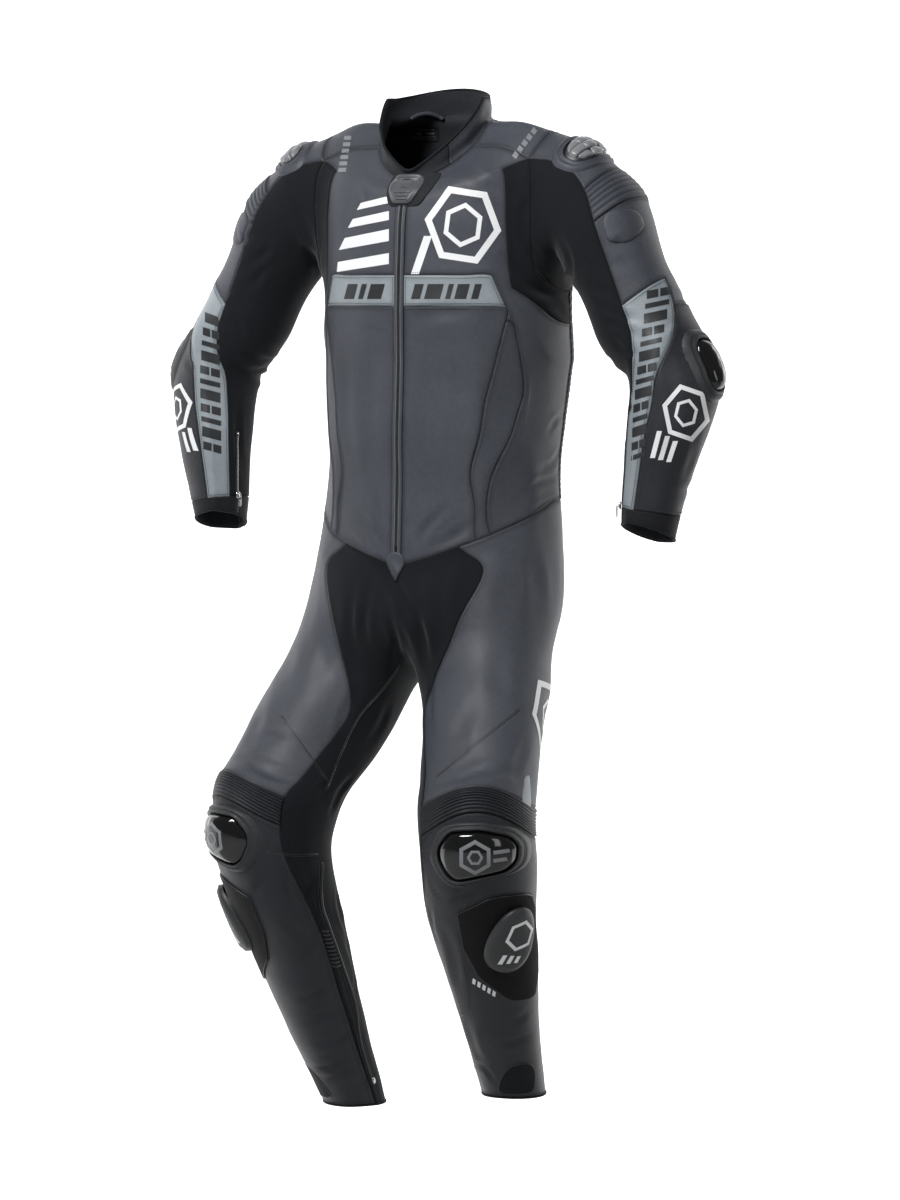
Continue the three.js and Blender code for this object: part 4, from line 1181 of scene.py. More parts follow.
def grid_faces(rows, columns, order=1):
    """Quads between the points of a grid, row by row."""
    faces = []
    for j in range(rows):
        for i in range(columns):
            low = j * (columns + 1) + i
            high = low + columns + 1
            faces.append((low, low + 1, high + 1, high)[::order])
    return faces


class Sewing:
    """Boxes and tubes collected into one mesh."""

    def __init__(self):
        self.verts, self.faces, self.count = [], [], 0

    def add(self, verts, faces):
        self.verts.append(np.asarray(verts, float))
        self.faces += [tuple(int(i) + self.count for i in f) for f in faces]
        self.count += len(verts)

    def box(self, middle, along, side, normal, half):
        """A small block with chamfered ends."""
        corners_of = []
        for a, s, h in ((-1, 0.5, 0.2), (-0.6, 1, 1), (0.6, 1, 1), (1, 0.5, 0.2)):
            for k, top in ((-1, -1), (1, -1), (1, 1), (-1, 1)):
                up = half[2] * (h if top > 0 else -1)
                corners_of.append(middle + along * a * half[0] + side * k * s * half[1] + normal * up)
        self.add(corners_of, [(0, 3, 2, 1), (12, 13, 14, 15), *ring_faces(4, 4)])

    def tube(self, path, normals, radius, sides=8, squash=1.0, closed=False):
        ahead = np.roll(path, -1, axis=0) - np.roll(path, 1, axis=0)
        if not closed:
            ahead[0], ahead[-1] = path[1] - path[0], path[-1] - path[-2]
        ahead = unit(ahead)
        side = unit(np.cross(ahead, normals))
        up = np.cross(side, ahead)
        n = len(path)
        rings = []
        for k in range(sides):
            turn = 2 * math.pi * k / sides
            rings.append(path + side * radius * math.cos(turn) + up * radius * squash * math.sin(turn))
        verts = np.stack(rings, axis=1).reshape(-1, 3)
        faces = ring_faces(sides, n, closed=closed)
        if not closed:
            faces.append(tuple(range(sides))[::-1])
            faces.append(tuple((n - 1) * sides + k for k in range(sides)))
        self.add(verts, faces)

    def build(self, name, finish, body="suit", flat=False):
        obj = to_scene(name, np.concatenate(self.verts), self.faces, flat)
        obj.data.materials.append(finish)
        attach(obj, body)
        return obj


def stitches(sewing, path, pitch=3.5, gap=0.25):
    """A row of short threads along a line on the cloth."""
    path = even(path, pitch)
    at, normals = settle(path, gap)
    ahead = np.gradient(at, axis=0)
    ahead = unit(ahead - normals * np.einsum("ij,ij->i", ahead, normals)[:, None])
    side = np.cross(normals, ahead)
    for i in range(len(at)):
        sewing.box(at[i], ahead[i], side[i], normals[i], STITCH)


def rim_loops(name):
    """The piece's border as closed lines of its points."""
    piece = made[name]
    following = dict(zip(piece["rim"][:, 0].tolist(), piece["rim"][:, 1].tolist()))
    loops = []
    while following:
        start, at = next(iter(following.items()))
        loop = [start]
        following.pop(start)
        while at in following:
            loop.append(at)
            at = following.pop(at)
        loops.append(np.array(loop))
    return loops


def inner_line(name, loop, inset):
    """A line inside a piece, along its border."""
    piece = made[name]
    way = piece["way"][loop]
    way = way / np.maximum(1, np.linalg.norm(way, axis=1, keepdims=True) / 1.3)
    return piece["verts"][loop] + way * inset


LEATHER_KINDS = (
    "back", "chest", "chest_band", "front", "waist_inset", "thigh", "seat", "shoulder",
    "upper_arm", "forearm", "forearm_strip", "shin", "collar_back",
)
seam_thread = Sewing()
for name in piece_names:
    if bare(name) in LEATHER_KINDS:
        for loop in rim_loops(name):
            line_at = inner_line(name, loop, 2.2)
            stitches(seam_thread, np.vstack([line_at, line_at[:1]]))

# Seams inside a piece: a groove, made as a dark welt that lies low, which is painted shade in the groove,
# and a row of stitches beside it.
INNER_SEAMS = [
    [(521, 709), (500, 726), (480, 742), (437, 777)],
    [(281, 715), (305, 748), (329, 781)],
    [(400, 665), (384, 689), (360, 717), (343, 751), (328, 789)],
    [(467, 905), (460, 925), (462, 960), (467.5, 985), (469, 1009), (461, 1016)],
    [(421, 850), (430, 854)],
    [(267, 851), (290, 854), (318, 854)],
]
BACK_SEAMS = [[(9.6, 10.05), (9.9, 12.5), (10, 14.9)], [(0.1, 12.6), (4, 12.3), (9.6, 12.9)]]
welts_and_groove_shade = Sewing()


def inner_seam(path, normals):
    # The dark welt: painted shade in the seam's groove.
    welts_and_groove_shade.tube(path - normals * 0.35, normals, 0.9, 6)
    side = unit(np.cross(np.gradient(path, axis=0), normals))
    stitches(seam_thread, path + side * 2.6)


for knots in INNER_SEAMS:
    inner_seam(*trace(knots, 3, surface=final_tree))
for side_name in SIDES:
    for knots in BACK_SEAMS:
        paths = [along_tube(torso, side_name, *a, *b, count=26)[0] for a, b in zip(knots, knots[1:])]
        inner_seam(*settle(np.vstack(paths)))

# Prints: plain slanted bars and hexagons, each a thin film on the cloth.
FILM = 0.35
PART_FILM = 0.3
FILM_STEP = 3
PART_FILM_STEP = 2.5


def film(sewing, corners_at, put, order, step):
    """A four-sided film, whose places are put on a surface, or none where one of them misses it."""
    a, b, c, d = [np.array(p, float) for p in corners_at]
    along = max(1, math.ceil(max(np.linalg.norm(b - a), np.linalg.norm(c - d)) / step))
    across = max(1, math.ceil(max(np.linalg.norm(d - a), np.linalg.norm(c - b)) / step))
    shares = [(i / along, j / across) for j in range(across + 1) for i in range(along + 1)]
    grid = [put(*mix(mix(a, b, s), mix(d, c, s), t)) for s, t in shares]
    if all(at is not None for at in grid):
        sewing.add(np.array(grid), grid_faces(across, along, order))


def area(sewing, corners_at, view=AZIMUTH, flip=1):
    """A four-sided film between places of a view."""

    def put(x, y):
        hit = cast(x, y, view, flip, final_tree)
        return hit and hit[0] + hit[1] * FILM

    film(sewing, corners_at, put, -flip, FILM_STEP)


def area_row(sewing, corners_at, steps, count):
    """The same small area several times over, its corners moved a step each time."""
    for k in range(count):
        area(sewing, np.array(corners_at) + k * np.array(steps))


def band(sewing, knots, width, view=AZIMUTH, flip=1):
    """A film of one width along the straight sides of a closed outline, mitred at its corners."""
    knots = np.array(knots, float)
    left, right = [], []
    for i, at in enumerate(knots):
        ways = [unit(at - knots[i - 1]), unit(knots[(i + 1) % len(knots)] - at)]
        mean = unit(sum(ways))
        out = np.array([-mean[1], mean[0]]) * (width / 2) / max(0.4, mean @ ways[0])
        left.append(at + out)
        right.append(at - out)
    for i in range(len(knots)):
        area(sewing, [left[i - 1], left[i], right[i], right[i - 1]], view, flip)


def hexagon(x, y, radius, turn=0.0, squeeze=1.0):
    angles = [math.radians(turn + 60 * k) for k in range(6)]
    return [(x + radius * math.cos(a) * squeeze, y + radius * math.sin(a)) for a in angles]


def slanted(x, y, wide, tall, lean):
    return [(x + lean, y), (x + lean + wide, y), (x + wide, y + tall), (x, y + tall)]


# Two hexagons, one in the other, in a view turned so far round the suit.
NESTED = [
    (463, 225, 38, 20, 8, 0.92, 6.5, 4.5, AZIMUTH, 1),
    (686, 413, 27, 13, 16, 0.82, 4.5, 3, AZIMUTH, 1),
    (386, 722, 40, 20, 12, 0.95, 6.5, 4, 88, 1),
    (386, 722, 40, 20, 12, 0.95, 6.5, 4, 88, -1),
    (523, 420, 26, 12, 16, 0.85, 4.5, 3, 66, -1),
]
# Slanted bars beside them: the first one's place, the step, their number, width, height, loss and lean.
BAR_ROWS = [
    (650, 431, 8, 5, 3, 5, 27, 3, 7, AZIMUTH, 1),
    (412, 752, 14, 3, 3, 8, 40, 8, 9, 88, 1),
    (412, 752, 14, 3, 3, 8, 40, 8, 9, 88, -1),
    (492, 440, 8, 5, 2, 5, 24, 3, 6, 66, -1),
]
CHEST_BARS = [
    [(361, 203), (389, 196), (389, 203), (357, 210)],
    [(353, 219), (389, 211), (389, 220), (348, 228)],
    [(345, 238), (389, 229), (389, 241), (339, 250)],
    [(338, 262), (389, 253), (389, 264), (337, 272)],
    slanted(411, 236, 8, 38, 13),
]
white = Sewing()
for x, y, outer, inner, turn, squeeze, thick, thin, view, flip in NESTED:
    band(white, hexagon(x, y, outer, turn, squeeze), thick, view, flip)
    band(white, hexagon(x, y, inner, turn + 30, squeeze), thin, view, flip)
for x, y, step_x, step_y, count, wide, tall, loss, lean, view, flip in BAR_ROWS:
    for k in range(count):
        area(white, slanted(x + step_x * k, y + step_y * k, wide, tall - loss * k, lean), view, flip)
for corners_at in CHEST_BARS:
    area(white, corners_at)
area_row(white, [(473, 978), (476, 980), (475, 985), (472, 983)], (5, 3), 5)
white.build("white_prints", WHITE_PRINT)

pale = Sewing()
area_row(pale, [(512, 156), (516, 159), (519, 155), (515, 151)], (4.6, -6), 6)
side_bar = [(338, 172), (346, 172), (346.5, 168), (338.6, 168)]
area_row(pale, side_bar, [(1.2, -6.4), (1.0, -6.4), (1.0, -6.4), (1.2, -6.4)], 6)
pale.build("pale_prints", GREY_PRINT)

dark = Sewing()
for x, wide in ((344, 10), (358, 5), (367, 14), (411, 9), (424, 16), (445, 5), (454, 12), (471, 7)):
    area(dark, slanted(x, 284, wide, 15, 4))
# Down the silver strips of the sleeves: height, middle and width of the column of bars.
LEFT_STRIP = ((267, 665, 24), (286, 660, 25), (317, 655, 23), (361, 648, 20), (405, 641, 15), (470, 637, 13))
RIGHT_STRIP = ((305, 212, 12), (330, 211, 17), (370, 210, 20), (410, 211, 20), (455, 213, 17))
WHOLE_BAR, SPLIT_BAR, THIN_BAR = ((0, 1, 10),), ((0, 0.46, 8), (0.54, 1, 8)), ((0, 1, 5),)
BAR_GAP = 5


def bar_column(strip, low, high, lean):
    """A column of slanted dark bars down a sleeve: whole, split and thin ones in turn."""
    y, turn = low, 0
    heights, middles, widths = zip(*strip)
    while y < high:
        wide = np.interp(y, heights, widths)
        left = np.interp(y, heights, middles) - wide / 2
        parts = (WHOLE_BAR, SPLIT_BAR, THIN_BAR)[turn % 3]
        for start_at, end_at, tall in parts:
            x0, x1 = left + wide * start_at, left + wide * end_at
            y0, y1 = y + lean * start_at, y + lean * end_at
            area(dark, [(x0, y0), (x1, y1), (x1, y1 + tall), (x0, y0 + tall)])
        y += parts[0][2] + BAR_GAP
        turn += 1


bar_column(LEFT_STRIP, 276, 462, -5)
bar_column(RIGHT_STRIP, 312, 448, 5)
dark.build("dark_prints", DARK_PRINT)

# The main zip: teeth on the tape, a leather fold beside them, and a pale line on each fold's inner edge that
# is a painted highlight.
teeth = Sewing()
for k in range(232):
    z = -84 - 2 * k
    hit, normal, _, _ = final_tree.ray_cast(Vector((0, -400, z)), Vector((0, 1, 0)))
    if hit is None:
        continue
    at, normal = np.array(hit), np.array(normal)
    down = unit(np.cross([1.0, 0, 0], normal))
    for s in (1, -1):
        middle = at + np.array([1.3 * s, 0, 0]) + normal * 0.8 + down * 0.5 * s
        teeth.box(middle, np.array([1.0, 0, 0]) * s, down, normal, (1.7, 0.55, 0.8))
teeth.build("main_zip_teeth", SATIN_BLACK)
zip_folds, zip_edge_highlights = Sewing(), Sewing()
for x in (-ZIP_HALF + 1.6, ZIP_HALF - 1.6):
    line_at = [final_tree.ray_cast(Vector((x, -400, z)), Vector((0, 1, 0))) for z in range(-74, -572, -4)]
    path = np.array([hit for hit, _, _, _ in line_at])
    normals = np.array([normal for _, normal, _, _ in line_at])
    zip_folds.tube(path + normals * 0.5, normals, 2.6, 8, 0.5)
    # A pale tube on the fold's inner edge: painted highlight.
    zip_edge_highlights.tube(path + normals * 1.1 - np.array([1.9 * np.sign(x), 0, 0]), normals, 0.85, 8)
zip_folds.build("main_zip_folds", GREY_LEATHER)
zip_edge_highlights.build("main_zip_painted_edge_highlight", ZIP_EDGE_HIGHLIGHT)

# Calf zips on the inner side of both shins, with a small metal stop at the hem.
calf = Sewing()
calf_metal = Sewing()
CALF_ZIP = [(322, 862), (322, 902), (329.5, 927), (342, 963), (355, 1003), (360.5, 1041), (373, 1083)]
for flip in (1, -1):
    if flip == 1:
        path, normals = trace(CALF_ZIP, 3, surface=final_tree)
    else:
        path, normals = settle(path * np.array([-1, 1, 1]) + np.array([0, 0, RIGHT_DROP]))
        keep = path[:, 2] > -1302
        path, normals = path[keep], normals[keep]
    welts_and_groove_shade.tube(path + normals * 0.3, normals, 2.6, 8, 0.35)
    calf.tube(path + normals * 0.9, normals, 1.1, 8)
    side = unit(np.cross(np.gradient(path, axis=0), normals))
    for offset in (-5.2, 5.2):
        stitches(seam_thread, path + side * offset)
    end, out = path[-1], normals[-1]
    ahead = unit(path[-1] - path[-3])
    calf_metal.box(end - ahead * 4 + out * 2.4, ahead, np.cross(out, ahead), out, (5, 2.6, 1.3))
calf.build("calf_zip_teeth", SATIN_BLACK)
calf_metal.build("calf_zip_stops", METAL)

# Elastic gathers beside the right calf zip.
for i in range(10):
    x, y = 331 + 1.15 * i, 930 + 3.9 * i
    path, normals = trace([(x, y), (x - 5, y + 1.5), (x - 9, y + 1)], 2, surface=final_tree)
    if len(path) > 2:
        welts_and_groove_shade.tube(path, normals, 1.2, 6, 0.6)

# Piping round the hems, the cuffs and the top of the collar.
piping = Sewing()


def pipe_round(ring_ids, radius, sunk):
    at, normals = settle(even(P[ring_ids], 3.5, closed=True)[:-1])
    piping.tube(at - normals * sunk, normals, radius, 8, closed=True)


for side in SIDES:
    pipe_round(legs[side][-1], 1.9, 0.4)
    pipe_round(sleeves[side][-1], 1.7, 0.4)
pipe_round(collar["right"][-1] + collar["left"][-1][::-1], 1.9, 0.8)
piping.build("piping", STRETCH)


# Hard caps and small pieces. A seat is the place on the cloth that a part is fixed to, with its own
# axes: across, up and out. Distances from it are in millimetres.
RAY_START = 260


class Seat:
    def __init__(self, side, origin, direction, up=(0, 0, 1)):
        flip = sign(side)
        mirror = np.array([flip, 1, 1])
        self.origin = np.array(origin, float) * mirror
        self.out = unit(np.array(direction, float) * mirror)
        across = unit(np.cross(up, self.out))
        self.up = np.cross(self.out, across)
        self.across = across * flip
        self.flip = flip

    def at(self, a, b, lift):
        start = self.origin + self.across * a + self.up * b
        hit, _, _, _ = final_tree.ray_cast(Vector(start + self.out * RAY_START), Vector(-self.out))
        if hit is None:
            raise RuntimeError("a part reaches past the cloth")
        return np.array(hit) + self.out * lift


def rounded(corners_at, radius, count=5):
    """A closed outline with its corners rounded."""
    knots = np.array(corners_at, float)
    outline = []
    for i in range(len(knots)):
        before, at, after = knots[i - 1], knots[i], knots[(i + 1) % len(knots)]
        r1 = min(radius, np.linalg.norm(before - at) * 0.45)
        r2 = min(radius, np.linalg.norm(after - at) * 0.45)
        a = at + unit(before - at) * r1
        b = at + unit(after - at) * r2
        for t in np.linspace(0, 1, count):
            outline.append((1 - t) ** 2 * a + 2 * t * (1 - t) * at + t**2 * b)
    return np.array(outline)


def resampled(outline, count):
    flat_line = np.column_stack([outline, np.zeros(len(outline))])
    closed = np.vstack([flat_line, flat_line[:1]])
    run = np.concatenate([[0], np.cumsum(np.linalg.norm(np.diff(closed, axis=0), axis=1))])
    marks = np.linspace(0, run[-1], count + 1)[:-1]
    return np.stack([np.interp(marks, run, closed[:, k]) for k in (0, 1)], axis=1)


def oval(half_a, half_b, power=2.0, count=48):
    angles = np.linspace(0, 2 * math.pi, count, endpoint=False)
    c, s = np.cos(angles), np.sin(angles)
    a = half_a * np.sign(c) * np.abs(c) ** (2 / power)
    b = half_b * np.sign(s) * np.abs(s) ** (2 / power)
    return np.stack([a, b], axis=1)


def rings_of(sewing, seat, outlines, lifts, closed_middle):
    """Joins outlines at given lifts into one surface, from the outermost in."""
    verts = [seat.at(a, b, lift) for outline, lift in zip(outlines, lifts) for a, b in outline]
    if closed_middle:
        verts.append(seat.at(*outlines[-1].mean(axis=0), lifts[-1]))
    sewing.add(verts, ring_faces(len(outlines[0]), len(outlines), seat.flip, closed_middle))


def dome(sewing, seat, outline, rim, rise, base=-0.6, steps=10, bevel=1.2, power=2.0):
    """A cap with a low wall, a small bevel and a domed top."""
    middle = outline.mean(axis=0)
    arms = outline - middle
    size = np.linalg.norm(arms, axis=1).mean()
    outlines, lifts = [outline, outline, middle + arms * (1 - bevel / size)], [base, rim - bevel * 0.7, rim]
    for t in np.linspace(1, 0.08, steps)[1:]:
        outlines.append(middle + arms * (1 - bevel / size) * t)
        lifts.append(rim + rise * (1 - t**power) ** (1 / power))
    rings_of(sewing, seat, outlines, lifts, True)


def roll(sewing, seat, outer, inner, lifts):
    """A ring between two outlines, whose lifts are given from the outside in."""
    shares = np.linspace(0, 1, len(lifts))
    rings_of(sewing, seat, [mix(outer, inner, s) for s in shares], lifts, False)


def outline_line(seat, outline, lift):
    closed = np.vstack([outline, outline[:1]])
    path = np.array([seat.at(a, b, lift) for a, b in closed])
    return path


def sewn(sewing, seat, outline, lift, pitch=3.4):
    """Stitches along an outline on top of a part."""
    path = even(outline_line(seat, outline, lift), pitch)
    ahead = unit(np.gradient(path, axis=0))
    for at, way in zip(path, ahead):
        side = unit(np.cross(seat.out, way))
        sewing.box(at, way, side, seat.out, STITCH)


def tree_from(sewing):
    verts = np.concatenate(sewing.verts)
    return BVHTree.FromPolygons([Vector(v) for v in verts.tolist()], sewing.faces)


def seat_area(sewing, seat, corners_at, tree_of):
    """A four-sided film on a part, between places on its seat."""

    def put(a, b):
        start_at = seat.origin + seat.across * a + seat.up * b + seat.out * RAY_START
        hit, _, _, _ = tree_of.ray_cast(Vector(start_at), Vector(-seat.out))
        return None if hit is None else np.array(hit) + seat.out * PART_FILM

    film(sewing, corners_at, put, seat.flip, PART_FILM_STEP)


def seat_band(sewing, seat, knots, width, tree_of):
    """A film of one width along the straight sides of a closed outline on a part."""
    knots = np.array(knots, float)
    for a, b in zip(knots, np.roll(knots, -1, axis=0)):
        way = unit(b - a)
        out = np.array([-way[1], way[0]]) * width / 2
        more = way * width * 0.29
        seat_area(sewing, seat, [a + out - more, b + out + more, b - out + more, a - out - more], tree_of)


def place_part(name, sewing, finish, flat=False):
    obj = sewing.build(f"{name}_part", finish, flat=flat)
    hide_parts(name)
    return obj


def shaped(pixels, middle, scale):
    """An outline in millimetres from places of the photograph."""
    return np.array([((x - middle[0]) * scale, (middle[1] - y) * scale) for x, y in pixels])


KNEE_MIDDLE = (479.5, 852)
BEZEL = [(429.5, 846), (437, 826), (454, 817), (484, 816), (516, 823), (532, 838), (532, 858), (521, 868)]
BEZEL += [(492, 876), (462, 886), (449, 884), (437, 872), (430, 858)]
CUP = [(438.5, 844), (450, 828), (480, 826), (509, 832), (518.5, 842), (517, 857), (506, 867)]
CUP += [(456, 878), (447, 872), (439, 856)]


def knee_outline(pixels, radius):
    """An outline of the knee from its place in the photograph, that starts at its outer end."""
    outline = resampled(rounded(shaped(pixels, KNEE_MIDDLE, 1.345), radius), 64)
    return np.roll(outline, -np.argmin(np.abs(np.arctan2(outline[:, 1], outline[:, 0]))), axis=0)


bezel_outline = knee_outline(BEZEL, 12)
cup_outline = knee_outline(CUP, 7)
FLASH = [(338, 814), (342, 796), (352, 776), (362, 774), (360, 806), (350, 817)]
flashes = Sewing()


def flash_film(flip):
    """The bright panel that shows beside each knee, at the end of its ribs."""
    outline = resampled(rounded(FLASH, 4, 4), 40)
    middle = outline.mean(axis=0)
    rings = []
    for t in (1.0, 0.8, 0.6, 0.4, 0.2):
        hits = [cast(*mix(middle, p, t), 75, flip, final_tree) for p in outline]
        rings.append([hit[0] + hit[1] * (0.1 if t == 1.0 else 0.6) for hit in hits])
    hit = cast(*middle, 75, flip, final_tree)
    verts = [at for ring in rings for at in ring] + [hit[0] + hit[1] * 0.6]
    flashes.add(np.array(verts), ring_faces(len(outline), len(rings), -flip, True))


def cast_patch(sewing, outline_px, view, flip, rim, rise, rings_count=8):
    """A raised patch whose outline is drawn in a view."""
    outline = resampled(rounded(outline_px, 5, 5), 56)
    middle = outline.mean(axis=0)
    verts = []
    shares = [1.0, 1.0, 0.97, *np.linspace(0.9, 0.1, rings_count)]
    lifts = [-0.6, rim * 0.5, rim, *[rim + rise * (1 - t**2) ** 0.7 for t in shares[3:]]]
    for t, lift in zip(shares, lifts):
        for p in outline:
            at, normal = cast(*mix(middle, p, t), view, flip, final_tree)
            verts.append(at + normal * lift)
    at, normal = cast(*middle, view, flip, final_tree)
    verts.append(at + normal * (rim + rise))
    sewing.add(np.array(verts), ring_faces(len(outline), len(shares), -flip, True))


QUILT = [(602, 224), (605, 213), (616, 209), (632, 209.5), (640, 214), (645, 226), (634, 238)]
QUILT += [(625, 243), (608, 242)]
# The hook panel's rows: how far down, and the turns round the shin at which each begins and ends.
HOOK_ROWS = [(-1009, 6, 62), (-1030, -25, 72), (-1080, -26, 75), (-1120, -15, 73), (-1151, 12, 60)]
KNEE_ROLL = [-0.6, 2.6, 4.6, 5.6, 6.0, 5.2, 5.9, 7.4, 8.2, 8.0, 6.4, 2.0]
SHOULDER_ROLL = [-0.6, 2.2, 3.8, 4.6, 4.2, 3.0, 4.4, 5.4, 5.0, 2.0]
ELBOW_ROLL = [-0.6, 2.4, 4.2, 5.2, 5.6, 4.9, 5.6, 6.8, 7.4, 6.8, 4.0]
GUARD = [(-33, 30), (-20, 50), (14, 50), (31, 26), (33, -24), (16, -51), (-18, -51), (-33, -26)]
SLIDER = [(-19, 22), (-12, 36), (10, 36), (20, 20), (21, -20), (10, -37), (-12, -37), (-20, -20)]
part_thread = Sewing()
films = {"grey": Sewing(), "white": Sewing()}
hard, soft_rolls, ankle_tongues = {}, {}, {}
for side in SIDES:
    flip = sign(side)
    knee = Seat(side, (163, -204, -951), (0.5, -0.866, 0.03))
    ring = Sewing()
    roll(ring, knee, bezel_outline, cup_outline, KNEE_ROLL)
    hard[f"knee_ring_{side}"] = place_part(f"knee_ring_{side}", ring, PERFORATED)
    sewn(part_thread, knee, mix(bezel_outline, cup_outline, 0.36), 5.7)
    sewn(part_thread, knee, mix(bezel_outline, cup_outline, 0.54), 5.9)
    cup = Sewing()
    dome(cup, knee, mix(cup_outline, cup_outline.mean(axis=0), 0.02), 6.0, 7.5, 0, 16, 1.6, 2.2)
    place_part(f"knee_cup_{side}", cup, GLOSS)
    cup_tree = tree_from(cup)
    seat_band(films["grey"], knee, hexagon(-6, 0, 21, 30), 5, cup_tree)
    seat_band(films["grey"], knee, hexagon(-6, 0, 9), 3.4, cup_tree)
    for b in (-7, 4):
        bar = [(19, b), (40 + b / 3, b + 2), (38 + b / 3, b + 7), (18, b + 5)]
        seat_area(films["grey"], knee, bar, cup_tree)

    shin = Seat(side, (153, -176, -1063), (0.88, -0.47, -0.06))
    puck = Sewing()
    dome(puck, shin, oval(27, 39), 6.0, 0.4, 2.2, 4, 0.8, 4)
    dome(puck, shin, oval(33.5, 47.5, 2.1), 14.2, 4.2, 6.0, 12, 2.6, 3.2)
    place_part(f"knee_puck_{side}", puck, PUCK)
    puck_tree = tree_from(puck)
    seat_band(films["white"], shin, hexagon(4, 8, 20, 20), 4.4, puck_tree)
    for k in range(3):
        x, y = -14 + 10 * k, -20 - k
        bar = [(x, y), (x + 5.5, y), (x + 3, y - 14 + 2 * k), (x - 2.5, y - 14 + 2 * k)]
        seat_area(films["white"], shin, bar, puck_tree)

    shoulder = Seat(side, (215, -21, -34), (0.51, -0.23, 0.83), (0, 1, 0))
    edge = Sewing()
    roll(edge, shoulder, oval(34, 51, 2.6), oval(22.5, 38.5, 2.6), SHOULDER_ROLL)
    soft_rolls[side] = [edge.build(f"shoulder_bezel_{side}", GREY_LEATHER)]
    sewn(part_thread, shoulder, oval(29.5, 46.5, 2.6, 64), 4.0)
    cap_part = Sewing()
    dome(cap_part, shoulder, oval(22, 38, 2.5), 3.4, 4.0, -0.4, 10, 0.9, 2.4)
    place_part(f"shoulder_cup_{side}", cap_part, SATIN_BLACK)
    plates = Sewing()
    for a0, a1 in ((-20, -6.6), (-5.6, 6.4), (7.4, 20)):
        for b0, b1 in ((-36, -13), (-12, 10.5), (11.5, 36)):
            tilt = 2.5 if a0 > 0 else 0
            clipped = []
            for a, b in [(a0, b0 + tilt), (a1, b0), (a1, b1), (a0, b1 - tilt)]:
                reach = (abs(a / 20) ** 2.5 + abs(b / 36) ** 2.5) ** 0.4
                clipped.append((a / max(1, reach), b / max(1, reach)))
            plate = resampled(rounded(clipped, 2.2, 4), 24)
            dome(plates, shoulder, plate, 8.6 + 1.8 * (1 - abs(a0 + a1) / 30), 1.2, 2.5, 4, 0.9, 2)
    plates.build(f"shoulder_plates_{side}", GREY_CAP)

    quilt = Sewing()
    cast_patch(quilt, QUILT, AZIMUTH, flip, 1.6, 2.2)
    soft_rolls[side].append(quilt.build(f"arm_quilt_{side}", GREY_LEATHER))

    elbow = Seat(side, (364, -28, -303), (1, -0.05, 0.12))
    guard = Sewing()
    outer, inner = resampled(rounded(GUARD, 12), 64), resampled(rounded(SLIDER, 8), 64)
    roll(guard, elbow, outer, inner, ELBOW_ROLL)
    soft_rolls[side].append(guard.build(f"elbow_bezel_{side}", PERFORATED))
    sewn(part_thread, elbow, mix(outer, inner, 0.34), 5.3)
    sewn(part_thread, elbow, mix(outer, inner, 0.56), 5.7)
    slider = Sewing()
    dome(slider, elbow, mix(inner, inner.mean(axis=0), 0.03), 7.0, 6.5, 0, 14, 2.0, 2.4)
    place_part(f"elbow_cup_{side}", slider, GLOSS)

    # The hook panel on the shin, with a stitched leather edge.
    hooks = Sewing()
    patch = np.array(HOOK_ROWS, float)

    def on_shin(u, v, lift):
        i = min(3, int(u * 4))
        z, a, b = mix(patch[i], patch[i + 1], u * 4 - i)
        bulge = 1 - abs(2 * v - 1) ** 3
        z = z + (5 * bulge if u < 0.12 else 0) - (6 * bulge if u > 0.9 else 0)
        turn = mix(a, b, v) + 30
        t = min(1, max(0, (-1010 - z) / 175))
        origin = np.array([flip * mix(160, 141, t), mix(-196, -112, t), z])
        way = np.array([flip * sin(turn), -cos(turn), 0])
        hit, normal, _, _ = final_tree.ray_cast(Vector(origin + way * 200), Vector(-way))
        return np.array(hit) + np.array(normal) * lift

    n_u, n_v = 40, 26
    grid_points = [on_shin(i / n_u, j / n_v, 2.9) for i in range(n_u + 1) for j in range(n_v + 1)]
    row = n_v + 1
    hooks.add(grid_points, grid_faces(n_u, n_v, -flip))
    loop_ids = [(0, j) for j in range(row)] + [(i, n_v) for i in range(1, n_u + 1)]
    loop_ids += [(n_u, j) for j in range(n_v - 1, -1, -1)] + [(i, 0) for i in range(n_u - 1, 0, -1)]
    edge_path = np.array([grid_points[i * row + j] for i, j in loop_ids])
    _, edge_normals = settle(edge_path)
    low = edge_path - edge_normals * 2.9
    m = len(edge_path)
    faces = [(k, (k + 1) % m, m + (k + 1) % m, m + k)[::flip] for k in range(m)]
    hooks.add(np.vstack([edge_path, low]), faces)
    hard[f"shin_patch_{side}"] = place_part(f"shin_patch_{side}", hooks, HOOKS)
    welts_and_groove_shade.tube(edge_path - edge_normals * 1.6, edge_normals, 1.5, 6, closed=True)
    out_line, _ = settle(edge_path + unit(edge_path - edge_path.mean(axis=0)) * 3.4)
    stitches(seam_thread, np.vstack([out_line, out_line[:1]]))

    # The stretch patch at the front of the ankle, and the bright panel beside the knee.
    front = Seat(side, (134, -60, -1290), (0.62, -0.78, 0))
    ankle = Sewing()
    drop = 0 if side == "left" else -30
    tongue = [(-24, -12), (-24, 12), (-12, 33), (16, 36), (26, 20), (26, -12)]
    tongue = resampled(rounded([(a, b + drop) for a, b in tongue], 12), 48)
    dome(ankle, front, tongue, 0.7, 0.1, -0.3, 8, 0.5, 4)
    ankle_tongues[side] = ankle.build(f"ankle_stretch_{side}", STRETCH)
    line_path = outline_line(front, tongue, 0.2)
    welts_and_groove_shade.tube(line_path[:-1], settle(line_path[:-1])[1], 0.9, 6, closed=True)
    flash_film(flip)

flashes.build("knee_flashes", SILVER_LEATHER)
films["grey"].build("grey_cup_prints", GREY_PRINT)
films["white"].build("white_puck_prints", WHITE_PRINT)

